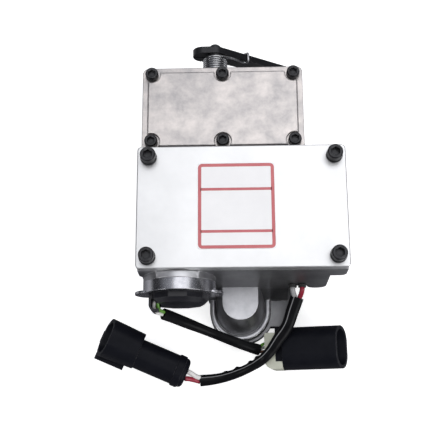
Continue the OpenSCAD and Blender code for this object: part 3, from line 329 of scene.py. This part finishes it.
def sleeve(name, line, node, width, height, crease, puckers=()):
    """A lay-flat tube along a line: half width and half height in mm by place, a crease at an angle from
    the top, and puckers (place, size) on the inside of its bend; hollow at both ends."""
    work = bmesh.new()
    total = length_of(line)
    travelled, rings, creased = 0, [], set()
    for k, point in enumerate(line):
        travelled += (point - line[k - 1]).length if k else 0
        t = travelled / total
        ahead = (line[min(k + 1, len(line) - 1)] - line[max(k - 1, 0)]).normalized()
        side = ahead.cross(Vector((0, 0, 1))).normalized()
        top = side.cross(ahead)
        bulge = sum(size * math.exp(-((t - at) / PUCKER_REACH) ** 2) for at, size in puckers)
        frame_here = Matrix.Translation(point) @ Matrix((side, top, ahead)).transposed().to_4x4()
        made = bmesh.ops.create_circle(work, segments=TUBE_SIDES, radius=1, matrix=frame_here)
        for vert in made["verts"]:
            out = vert.co - point
            turn = math.atan2(out.dot(side), out.dot(top))
            ridge = CREASE_RISE if abs(turn - crease) < math.pi / TUBE_SIDES else 0
            if ridge:
                creased.add(vert)
            inner = max(0, math.sin(turn)) ** 2 * bulge
            vert.co = point + (side * math.sin(turn) * (along(t, *width) + ridge + inner)
                + top * math.cos(turn) * (along(t, *height) + ridge)) * MM
        rings.append(made["verts"])

    def inside(k, step):
        """The tube's inner wall at one end, from its mouth to a little way in."""
        walls = []
        for depth in (0, BORE_STEPS):
            made = bmesh.ops.create_circle(work, segments=TUBE_SIDES, radius=1)["verts"]
            for vert, outer in zip(made, rings[k]):
                vert.co = line[k] + (outer.co - line[k]) * BORE_SHARE + (line[k + step] - line[k]) * depth
            walls.append(made)
        return walls

    def edges_of(ring):
        own = set(ring)
        return list({e for v in ring for e in v.link_edges if e.other_vert(v) in own})

    first, last = inside(0, 1), inside(-1, -1)
    loops = [edges_of(ring) for ring in (first[1], first[0], *rings, last[0], last[1])]
    for low, high in zip(loops, loops[1:]):
        bmesh.ops.bridge_loops(work, edges=low + high)
    for loop in (loops[0], loops[-1]):
        bmesh.ops.contextual_create(work, geom=loop)
    bmesh.ops.recalc_face_normals(work, faces=work.faces)
    work.verts.index_update()
    marks = [1.0 if v in creased else 0.0 for v in work.verts]
    mesh = smooth_mesh(name, work, vinyl, sharp=60)
    mesh.attributes.new("crease", "FLOAT", "POINT").data.foreach_set("value", marks)
    return fix(stand(name, mesh), "casing", "sleeve_vinyl", node)


coil_sleeve = sleeve("lead_coil_sleeve", coil_line, "coil_sleeve",
    width=((0, 4.3), (0.25, 3.9), (0.5, 3.3), (0.62, 3.0), (0.8, 3.2), (1, 3.7)),
    height=((0, 2.4), (0.3, 2.7), (0.6, 3.0), (1, 2.7)), crease=0.42,
    puckers=((0.53, 0.9), (0.605, 1.0), (0.72, 1.1), (0.81, 0.7)))
sensor_sleeve = sleeve("lead_sensor_sleeve", sensor_line, "sensor_sleeve",
    width=((0, 3.6), (0.2, 3.5), (0.55, 3.0), (0.85, 3.3), (1, 3.6)),
    height=((0, 2.6), (0.5, 3.0), (1, 2.9)), crease=math.pi)


# Castings: the coil housing with its stepped boss and flange, and the linkage housing behind it.
# Gravity-cast aluminium, bead blasted and left bare; each face that doesn't look up is painted darker as
# shade, and so is the casting low down. The two are screwed together over a thin gasket.
# The walls' share of the tone as painted shade, and how far up a face must look to keep its full tone.
WALL_SHADE_TONE, FACING_UP_LIMIT, CAST_EDGE = 0.62, 0.8, 0.8
MERGE, CO_PLANAR = 1e-6, math.radians(1)
EDGE_STEPS, EDGE_ANGLE = 3, math.radians(35)


def bevel(work, geom, radius, steps, affect="EDGES", **limits):
    """Rounds edges or corners off by a radius in mm."""
    return bmesh.ops.bevel(work, geom=geom, offset=radius * MM, offset_type="OFFSET", affect=affect,
        segments=steps, profile=0.5, material=-1, **limits)


def put_piece(name, work, material, body, slot, *stands_for, sharp=40):
    """Turns a finished bmesh into a piece on its body, in place of its nodes."""
    piece = stand(name, smooth_mesh(name, work, material, sharp))
    piece.modifiers.new("even_shading", "WEIGHTED_NORMAL").keep_sharp = True
    return fix(piece, body, slot, *stands_for)


def softened(name, radius, *wider, cut=None):
    """A node's shape with its sharp edges rounded by a radius in mm; wider gives (test, radius, steps) for
    edges that are broken more, and cut is a plane (point in mm, direction) beyond which it is trimmed."""
    work = bmesh.new()
    work.from_mesh(nodes[name].data)
    bmesh.ops.remove_doubles(work, verts=work.verts, dist=MERGE)
    bmesh.ops.dissolve_limit(work, angle_limit=CO_PLANAR, verts=work.verts, edges=work.edges)
    if cut:
        bmesh.ops.bisect_plane(work, geom=[*work.verts, *work.edges, *work.faces], dist=1e-7,
            plane_co=cut[0] * MM, plane_no=cut[1], clear_outer=True)
        bmesh.ops.contextual_create(work, geom=[e for e in work.edges if e.is_boundary])
    done = set()
    for picked, size, count in (*wider, (lambda e: True, radius, EDGE_STEPS)):
        work.normal_update()
        chosen = [e for e in work.edges if len(e.link_faces) == 2 and done.isdisjoint(e.link_faces)
            and e.calc_face_angle() > EDGE_ANGLE and picked(e)]
        done.update(bevel(work, chosen, size, count, clamp_overlap=True)["faces"])
    return work


def dress(material, *names):
    """Gives nodes that keep their shape a better material."""
    for name in names:
        mesh = nodes[name].data
        mesh.materials.clear()
        mesh.materials.append(material)


# Its tone is painted darker low down as shade, down to a third of it.
casting = finish("blasted_casting", (0.38, 0.38, 0.40), (0.53, 0.53, 0.55), metallic=1.0,
    rough=(0.34, 0.48), fine=1300, broad=70, depth=0.005, rubbed=(0.88, 0.88, 0.89), width=0.7, amount=0.7,
    low_shade=0.34)
# Painted shade on the walls: every face that doesn't look up keeps only the wall share of the tone.
tree, facing_up, coat = attribute(casting, "facing_up")
unshaded_share = add(tree, "MapRange", Value=facing_up, To_Min=WALL_SHADE_TONE, To_Max=1.0).outputs[0]
join(tree, coat, mixed(tree, unshaded_share, BLACK, coat.links[0].from_socket))
gasket = finish("gasket_paper", (0.035, 0.035, 0.04), (0.06, 0.06, 0.065), rough=(0.7, 0.9), fine=2500,
    depth=0.05)
for node in ("coil_housing", "linkage_housing"):
    work = softened(node, CAST_EDGE)
    work.normal_update()
    # Faces that look up are marked to keep their full tone; all others get the painted shade.
    layer = work.faces.layers.float.new("facing_up")
    for face in work.faces:
        face[layer] = 1.0 if face.normal.z > FACING_UP_LIMIT else 0.0
    put_piece(node + "_casting", work, casting, "casing", "cast_aluminium", node)
dress(gasket, "coil_gasket", "linkage_gasket", "joint_gasket")


# Coil cover: a thick flat plate, fine ground and passivated, with softly broken edges.
# Four socket screws with spring washers hold it on its gasket.
PLATE_W, PLATE_L, PLATE_LOW, PLATE_TOP = 127, 76, 71.6, 78
PLATE_CORNER, PLATE_EDGE = 2.5, 0.7
ground_plate = finish("ground_plate", (0.56, 0.56, 0.565), (0.63, 0.63, 0.635), metallic=1.0,
    rough=(0.36, 0.46), fine=2200, broad=24, depth=0.006, rubbed=(0.93, 0.93, 0.94), width=0.5, amount=0.5)
middle = Matrix.Translation(Vector((0, 0, (PLATE_LOW + PLATE_TOP) / 2)) * MM)
stretch = Matrix.Diagonal((PLATE_W * MM, PLATE_L * MM, (PLATE_TOP - PLATE_LOW) * MM, 1))
work = bmesh.new()
bmesh.ops.create_cube(work, size=1, matrix=middle @ stretch)
corners = [e for e in work.edges if abs(e.verts[0].co.z - e.verts[1].co.z) > MERGE]
bevel(work, corners, PLATE_CORNER, 8)
top_edges = [e for e in work.edges if all(abs(v.co.z - PLATE_TOP * MM) < MERGE for v in e.verts)]
bevel(work, top_edges, PLATE_EDGE, 4)
put_piece("coil_cover_plate", work, ground_plate, "casing", "machined_cover", "coil_cover")


# Cap screws: socket-head screws, black oxide, with knurled heads; the coil cover's are larger and
# stand on split spring washers, the linkage cover's sit in spot faces cut in the raised field.
TEETH, TOOTH_ROOT = 72, 0.965
CHAMFER, KNURL_END = 0.35, 1.2
CROWN = ((0.1, 0.9), (0.2, 0.5), (0.75, 0))  # in from the head's side, down from its top
SIXTH = math.pi / 3


def knurl(k):
    return 1 if k % 2 else TOOTH_ROOT


def flats(k):
    """How far out a hexagon reaches at a point, over the distance of its flats."""
    return 1 / math.cos((2 * math.pi * k / TEETH) % SIXTH - SIXTH / 2)


def ring(work, radius, height, at, shape=None):
    """A closed loop of edges round at, in mm; shape scales the radius by the point's number."""
    middle = Vector((at[0], at[1], height)) * MM
    made = bmesh.ops.create_circle(work, segments=TEETH, radius=radius * MM, matrix=Matrix.Translation(middle))
    for k, vert in enumerate(made["verts"] if shape else ()):
        vert.co = middle + (vert.co - middle) * shape(k)
    return list({e for v in made["verts"] for e in v.link_edges})


def cap_screw(work, at, base, head_d, head_h, hexagon):
    """A knurled head with its hexagon socket, half as deep as the head is high; sizes in mm."""
    r, socket_r, top = head_d / 2, hexagon / 2, base + head_h
    rings = [ring(work, *step) for step in (
        (r - CHAMFER, base, at), (r, base + CHAMFER, at, knurl), (r, top - KNURL_END, at, knurl),
        *((r - inward, top - down, at) for inward, down in CROWN),
        (socket_r + CHAMFER, top, at, flats), (socket_r, top - CHAMFER, at, flats),
        (socket_r, top - head_h / 2, at, flats))]
    for low, high in zip(rings, rings[1:]):
        bmesh.ops.bridge_loops(work, edges=low + high)
    for end in (rings[0], rings[-1]):
        bmesh.ops.contextual_create(work, geom=end)


black_oxide = finish("black_oxide", (0.012, 0.012, 0.014), (0.028, 0.028, 0.031), metallic=0.6,
    rough=(0.28, 0.44), fine=2000, broad=300, depth=0.01, rubbed=(0.16, 0.16, 0.17), width=0.3, amount=0.8)
# Each cover's screws: their places across and along it, then base, head width, head height and hexagon
for cover, across, down, sizes in (
        ("coil_cover", (-56.4, 56.4), (-30.9, 30.9), (79.6, 9.5, 6.4, 4.8)),
        ("linkage_cover", (-56.5, -11.3, 33.9), (45.9, 91.3), (64, 8.3, 4.8, 4))):
    work = bmesh.new()
    for x in across:
        for y in down:
            cap_screw(work, (x, y), *sizes)
    bmesh.ops.recalc_face_normals(work, faces=work.faces)
    put_piece(cover + "_cap_screws", work, black_oxide, "casing", "black_screw", cover + "_screws")
dress(black_oxide, "coil_cover_washers")


# Linkage cover: a cast plate with a raised field inside a plain rim, tumbled to a soft mottled grey.
# The field's edge is chamfered all round, and six screws hold the plate on its gasket.
FIELD_TOP, SHORTEST = 66 * MM, 6 * MM
COVER_EDGE, FIELD_CHAMFER = 0.7, 1.3
cast_cover = finish("tumbled_cover", (0.31, 0.297, 0.298), (0.50, 0.465, 0.45), metallic=1.0,
    rough=(0.28, 0.48), fine=1100, broad=80, depth=0.03, rubbed=(0.85, 0.85, 0.85), width=0.8, amount=0.7)


def field_edge(edge):
    return all(abs(v.co.z - FIELD_TOP) < MERGE for v in edge.verts) and edge.calc_length() > SHORTEST


work = softened("linkage_cover", COVER_EDGE, (field_edge, FIELD_CHAMFER, 1))
put_piece("linkage_cover_casting", work, cast_cover, "casing", "cast_cover", "linkage_cover", sharp=10)


# Label: a thin white foil, stuck on the coil cover. A red rounded frame and two dividing
# lines are printed on it, and its fields are bare.
LABEL_X, LABEL_TOP, LABEL_W, LABEL_L = -3.3, 78.3, 46.4, 53.2
MARGIN, LINE_W, PRINT_T, FRAME_R = 0.4, 2.0, 0.03, 2.6
DIVIDERS_Y = (10.2, -15.9)
DIVIDER_SHARE, DIVIDER_SHORT = 0.85, 1.6  # of a line's width
white_foil = finish("white_foil", (0.86, 0.85, 0.86), (0.90, 0.89, 0.90), rough=(0.22, 0.3), fine=1800,
    depth=0.004, width=0.1, amount=0.2)
red_print = finish("red_print", (0.54, 0.125, 0.14), (0.61, 0.155, 0.165), rough=(0.38, 0.5), fine=2400,
    depth=0.002)
dress(white_foil, "nameplate")


def print_sheet(work, y, width, length):
    """A flat rectangle on the foil, centred across the label."""
    spot = Matrix.Translation(Vector((LABEL_X, y, LABEL_TOP)) * MM)
    size = Matrix.Diagonal((width * MM, length * MM, 1, 1))
    return bmesh.ops.create_grid(work, x_segments=1, y_segments=1, size=0.5, matrix=spot @ size)["verts"]


work = bmesh.new()
bevel(work, print_sheet(work, 0, LABEL_W - MARGIN, LABEL_L - MARGIN), FRAME_R, 8, affect="VERTICES")
field = list(work.faces)
bmesh.ops.inset_region(work, faces=field, thickness=LINE_W * MM, use_boundary=True, use_even_offset=True)
bmesh.ops.delete(work, geom=field, context="FACES")
for y in DIVIDERS_Y:
    print_sheet(work, y, LABEL_W - MARGIN - DIVIDER_SHORT * LINE_W, LINE_W * DIVIDER_SHARE)
bmesh.ops.solidify(work, geom=list(work.faces), thickness=-PRINT_T * MM)
put_piece("label_print", work, red_print, "casing", "label")


# Output shaft, bushes and seal: a blackened steel shaft in sintered bronze bushes, with a lip seal outside;
# a thrust washer and a ring hold it in. Inside, two cranks and a drag link of ground steel on their pins
# join it to the armature's shaft, which runs in ball bearings.
ground_steel = finish("ground_steel", (0.42, 0.42, 0.44), (0.52, 0.52, 0.54), metallic=1.0,
    rough=(0.2, 0.34), fine=1600, broad=200, depth=0.004, rubbed=(0.7, 0.7, 0.72), width=0.3, amount=0.5)
bronze = finish("sintered_bronze", (0.36, 0.22, 0.09), (0.48, 0.31, 0.13), metallic=0.9, rough=(0.4, 0.55),
    fine=2600, depth=0.02)
seal = finish("seal_rubber", (0.012, 0.012, 0.012), (0.022, 0.022, 0.022), rough=(0.5, 0.65), fine=1800)
dress(black_oxide, "output_shaft")
dress(ground_steel, "thrust_washer", "shaft_retaining_ring", "armature_shaft", "front_bearing",
    "rear_bearing", "output_link_pin", "armature_link_pin", "drag_link", "output_crank", "armature_crank")
dress(bronze, "inner_bush", "outer_bush")
dress(seal, "shaft_seal")


# Lever: a flat steel bar with three rod holes, black oxide, rubbed paler on its edges.
# A split lobe and a screw clamp it on the shaft; the part's other small screws are blackened too.
LEVER_EDGE = 0.6
lever_black = finish("lever_black", (0.010, 0.010, 0.012), (0.022, 0.022, 0.025), metallic=0.5,
    rough=(0.3, 0.46), fine=1500, broad=120, depth=0.012, rubbed=(0.12, 0.12, 0.125), width=0.5, amount=0.8)
put_piece("output_lever_bar", softened("output_lever", LEVER_EDGE), lever_black, "output", "black_lever",
    "output_lever")
dress(black_oxide, "lever_clamp_screw", "crank_set_screw", "armature_set_screw", "joint_screws",
    "core_screws", "cup_screws")


# Return spring: close-wound bright wire round the shaft nose; one end stands in the casting,
# the other runs along the lever and hooks over its edge, so it twists as the lever turns.
OUT_X, OUT_Z, LEVER_Y, LEVER_END = -16.5, 41, 115, 119.5
LEVER_TURN = math.radians(-33)
COIL_R, COIL_START, COIL_END, WIRE_R, WIRE_GAP = 7.5, 97.25, 112.4, 0.75, 0.3
TAIL_Y = (93.4, 95.8)
COIL_TURNS, COIL_STEPS = 9, 229
FIRST_TURN, LAST_TURN = math.radians(250), math.radians(57 - 360 * COIL_TURNS)
FACE_Y, BACK_Y = LEVER_Y - WIRE_R - WIRE_GAP, LEVER_END + WIRE_R + WIRE_GAP
HOOK, RISE = 22, 7.343
spring_bright = finish("bright_wire", (0.37, 0.37, 0.38), (0.49, 0.49, 0.50), metallic=1.0,
    rough=(0.18, 0.3), fine=1800, broad=400, depth=0.004)


def lever_point(out, side, y):
    """A point on the lever: its distance out from the shaft, to the side, and along the shaft, in mm."""
    c, s = math.cos(LEVER_TURN), math.sin(LEVER_TURN)
    return Vector((OUT_X + out * c - side * s, y, OUT_Z + out * s + side * c)) * MM


line = [Vector((OUT_X, y, OUT_Z - COIL_R)) * MM for y in TAIL_Y]
for k in range(COIL_STEPS + 1):
    a = FIRST_TURN + (LAST_TURN - FIRST_TURN) * k / COIL_STEPS
    y = COIL_START + (COIL_END - COIL_START) * k / COIL_STEPS
    line.append(Vector((OUT_X + COIL_R * math.cos(a), y, OUT_Z + COIL_R * math.sin(a))) * MM)
line += [lever_point(*p) for p in ((4, 7.5, COIL_END + 0.3), (9, 6.5, FACE_Y - 0.4), (14, 5.3, FACE_Y),
    (19, 4.5, FACE_Y), (21.1, 4.7, FACE_Y), (HOOK, RISE - 1.4, FACE_Y), (HOOK, RISE - 0.4, FACE_Y + 0.3),
    (HOOK, RISE, FACE_Y + 1.2), (HOOK, RISE, BACK_Y - 1.2), (HOOK, RISE - 0.4, BACK_Y - 0.3),
    (HOOK, RISE - 1.4, BACK_Y), (21.4, RISE - 3.4, BACK_Y))]
wound = stand("return_spring_curve", round_wire("return_spring_wire", line, WIRE_R * MM, resolution=4))
bpy.context.view_layer.update()
mesh = bpy.data.meshes.new_from_object(wound.evaluated_get(bpy.context.evaluated_depsgraph_get()))
bpy.data.objects.remove(wound)
mesh.materials.append(spring_bright)
return_spring = stand("return_spring_wire", mesh)
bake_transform(return_spring)
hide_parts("return_spring")


# Inside: a soft-iron armature between the poles of a laminated core, screwed into the coil housing.
# The coil is enamelled copper, wound on a nylon bobbin that slips over the core.
core_iron = finish("stamped_iron", (0.16, 0.165, 0.18), (0.24, 0.245, 0.26), metallic=0.8, rough=(0.4, 0.6),
    fine=1400)
nylon = finish("bobbin_nylon", (0.62, 0.58, 0.46), (0.70, 0.67, 0.56), rough=(0.4, 0.55), fine=1400)
copper = finish("enamelled_copper", (0.34, 0.12, 0.05), (0.46, 0.19, 0.08), metallic=0.8, rough=(0.25, 0.4),
    fine=700, depth=0.1)
dress(core_iron, "field_core", "armature")
dress(nylon, "coil_bobbin")
dress(copper, "coil_winding")


# Position sensor: a black moulded sensor with its wire trough, held in a bright turned cup.
# The cup is screwed to the casting, and two oval slotted ears stand out from its flange.
CUP_X, CUP_Z, CUP_EDGE, SENSOR_EDGE = -39, 52, 0.35, 0.5
EAR_BACK, EAR_T, EAR_EDGE, EAR_SIDES, EAR_CORNER = -47.85, 1.65, 0.35, 40, math.radians(57)
EAR_OUTLINES = ((19.6, 7.8, 9.5), (24.3, 1.5, 3))  # ear and slot: distance out, half width, half height
turned = finish("turned_cup", (0.31, 0.31, 0.335), (0.43, 0.43, 0.455), metallic=1.0, rough=(0.18, 0.32),
    fine=1800, broad=160, depth=0.002, rubbed=(0.9, 0.9, 0.91), width=0.5, amount=0.5)
sensor_black = finish("sensor_nylon", (0.007, 0.007, 0.010), (0.012, 0.012, 0.016), rough=(0.28, 0.42),
    fine=1500, broad=90, depth=0.02, rubbed=(0.08, 0.08, 0.085), width=0.5, amount=0.6,
    Specular_IOR_Level=0.3)
put_piece("sensor_cup_turned", softened("sensor_cup", CUP_EDGE), turned, "casing", "turned_aluminium",
    "sensor_cup")
work = bmesh.new()
upended = Matrix.Rotation(math.pi / 2, 4, "X")
for side in (-1, 1):
    loops = []
    for out, half_x, half_z in EAR_OUTLINES:
        spot = Matrix.Translation(Vector((CUP_X + side * out, EAR_BACK, CUP_Z)) * MM)
        loop = bmesh.ops.create_circle(work, segments=EAR_SIDES, radius=MM,
            matrix=spot @ upended @ Matrix.Diagonal((half_x, half_z, 1, 1)))
        loops += list({e for v in loop["verts"] for e in v.link_edges})
    bmesh.ops.triangle_fill(work, edges=loops, use_beauty=True)
front = bmesh.ops.extrude_face_region(work, geom=list(work.faces), use_keep_orig=True)["geom"]
front = [v for v in front if isinstance(v, bmesh.types.BMVert)]
bmesh.ops.translate(work, verts=front, vec=(0, -EAR_T * MM, 0))
bmesh.ops.recalc_face_normals(work, faces=work.faces)
rims = [e for e in work.edges if len(e.link_faces) == 2 and e.calc_face_angle() > EAR_CORNER]
bevel(work, rims, EAR_EDGE, 2)
put_piece("sensor_cup_ears", work, turned, "casing", "turned_aluminium")
put_piece("position_sensor_body", softened("position_sensor", SENSOR_EDGE), sensor_black, "casing",
    "sensor_plastic", "position_sensor")


# Connectors: two moulded nylon housings with tin-plated blades, crimped on the wires and pushed in.
# A pale lock snaps over the three-way's rear; rubber grommets close the casting round the coil wires.
CONNECTOR_EDGE, LOCK_EDGE = 0.6, 0.7
LOCK_TRIM = (Vector((15, -68.6, 10)), Vector((0, 1, 0)))
TWO_WAY_REAR = Vector((-37.4, -94.2, 8.4))
TWO_WAY_AXIS = Matrix.Rotation(math.radians(157.2), 3, "Z") @ (
    Matrix.Rotation(math.radians(-8), 3, "Y") @ Vector((1, 0, 0)))
# The two-way's rounded ends and shoulders: distance from its rear, radius and steps
SHOULDERS = ((0, 2.8, 5), (34, 2.2, 4), (3, 0.9, 3), (8, 0.9, 3))
IN_PLANE = 0.05
connector_black = finish("connector_nylon", (0.005, 0.0055, 0.0085), (0.008, 0.0085, 0.012),
    rough=(0.34, 0.5), fine=1500, broad=90, depth=0.02, rubbed=(0.10, 0.10, 0.11), width=0.6, amount=0.7,
    Specular_IOR_Level=0.07)
tin = finish("tinned_blades", (0.45, 0.43, 0.38), (0.58, 0.56, 0.5), metallic=1.0, rough=(0.25, 0.4))
lock_pale = finish("lock_nylon", (0.50, 0.51, 0.42), (0.58, 0.59, 0.5), rough=(0.38, 0.52), fine=1400,
    broad=90, depth=0.02, rubbed=(0.7, 0.7, 0.62), width=0.5, amount=0.4)
dress(seal, "lead_grommets")


def shoulder_at(place):
    """A test for the outer edges across the two-way housing, at a distance in mm from its rear end."""
    return lambda e: e.is_convex and all(
        abs((v.co / MM - TWO_WAY_REAR).dot(TWO_WAY_AXIS) - place) < IN_PLANE for v in e.verts)


work = softened("two_way_connector", CONNECTOR_EDGE, *((shoulder_at(at), *rest) for at, *rest in SHOULDERS))
two_way = put_piece("two_way_housing", work, connector_black, "casing", "connector_plastic",
    "two_way_connector")
three_way = put_piece("three_way_housing", softened("three_way_connector", CONNECTOR_EDGE), connector_black,
    "casing", "connector_plastic", "three_way_connector")
dress(tin, "two_way_contacts", "three_way_contacts")
lock = put_piece("terminal_lock_moulded", softened("terminal_lock", LOCK_EDGE, cut=LOCK_TRIM), lock_pale,
    "casing", "lock_plastic", "terminal_lock")


# Studio: a plain pale paper floor, a broad soft light high behind and soft boxes at both sides.
# Reflections see a floor with painted shade close to the part, and a sky that is brighter towards the light.
FLOOR_HALF, FLOOR_DROP = 3, 0.0002
FLOOR_SEEN, FLOOR_GLOW = (0.9, 0.9, 0.9, 1), 0.66
# The floor that reflections see: painted shade near the part, pale further out.
SHADED_BOUNCE_NEAR, BOUNCE_FAR = (0.14, 0.14, 0.155, 1), (0.85, 0.85, 0.86, 1)
SHADE_MIDDLE = Vector((-0.02, -0.05, 0))
SKY_TINT, SKY_BRIGHT_WAY = (0.9, 0.93, 1, 1), Vector((0, 0.5, 0.87))
work = bmesh.new()
bmesh.ops.create_grid(work, x_segments=1, y_segments=1, size=FLOOR_HALF,
    matrix=Matrix.Translation((0, 0, cad_low.z - FLOOR_DROP)))
mesh = bpy.data.meshes.new("floor")
work.to_mesh(mesh)
work.free()
floor = stand("floor", mesh)
paper = bpy.data.materials.new("pale_paper")
paper.use_nodes = True
tree = paper.node_tree
shader = tree.nodes["Principled BSDF"]
shader.inputs["Roughness"].default_value = 0.9
shader.inputs["Emission Color"].default_value = (1, 1, 1, 1)
seen = add(tree, "LightPath").outputs["Is Camera Ray"]
# Painted shade on the floor for reflections, fading out away from the part.
offset = reckon(tree, "VectorMath", "SUBTRACT", add(tree, "TexCoord").outputs["Object"], SHADE_MIDDLE)
reach = reckon(tree, "VectorMath", "LENGTH", offset.outputs[0]).outputs["Value"]
away = add(tree, "MapRange", Value=reach, From_Min=0.05, From_Max=0.22).outputs[0]
bounce_with_shade = mixed(tree, away, SHADED_BOUNCE_NEAR, BOUNCE_FAR)
join(tree, shader.inputs["Base Color"], mixed(tree, seen, bounce_with_shade, FLOOR_SEEN))
paper_glow = add(tree, "MapRange", Value=seen, To_Max=FLOOR_GLOW)
join(tree, shader.inputs["Emission Strength"], paper_glow.outputs[0])
mesh.materials.append(paper)


def soft_light(name, place, target, size, watts):
    """A round soft light, turned towards its target."""
    lamp = bpy.data.lights.new(name, "AREA")
    lamp.shape = "DISK"
    lamp.size = size
    lamp.energy = watts
    holder = stand(name, lamp)
    holder.location = place
    holder.rotation_mode = "QUATERNION"
    holder.rotation_quaternion = (Vector(target) - Vector(place)).to_track_quat("-Z", "Y")


soft_light("overhead", (0.25, 0.42, 1.5), (0, 0, 0.05), size=1.45, watts=9.5)
soft_light("right_box", (1.15, -1.0, 0.95), (0, 0, 0.03), size=1.2, watts=17)
soft_light("left_strip", (-1.15, -0.9, 0.95), (0, 0, 0.03), size=0.6, watts=7)
world = bpy.data.worlds.new("studio")
world.use_nodes = True
sky = world.node_tree
glow = sky.nodes["Background"].inputs
glow["Color"].default_value = SKY_TINT
lit = reckon(sky, "VectorMath", "DOT_PRODUCT", add(sky, "TexCoord").outputs["Generated"], SKY_BRIGHT_WAY)
strength = add(sky, "MapRange", Value=lit.outputs["Value"], From_Min=0.45, From_Max=0.95, To_Min=0.04,
    To_Max=0.62)
join(sky, glow["Strength"], strength.outputs[0])
bpy.context.scene.world = world
bpy.context.scene.view_settings.view_transform = "Standard"
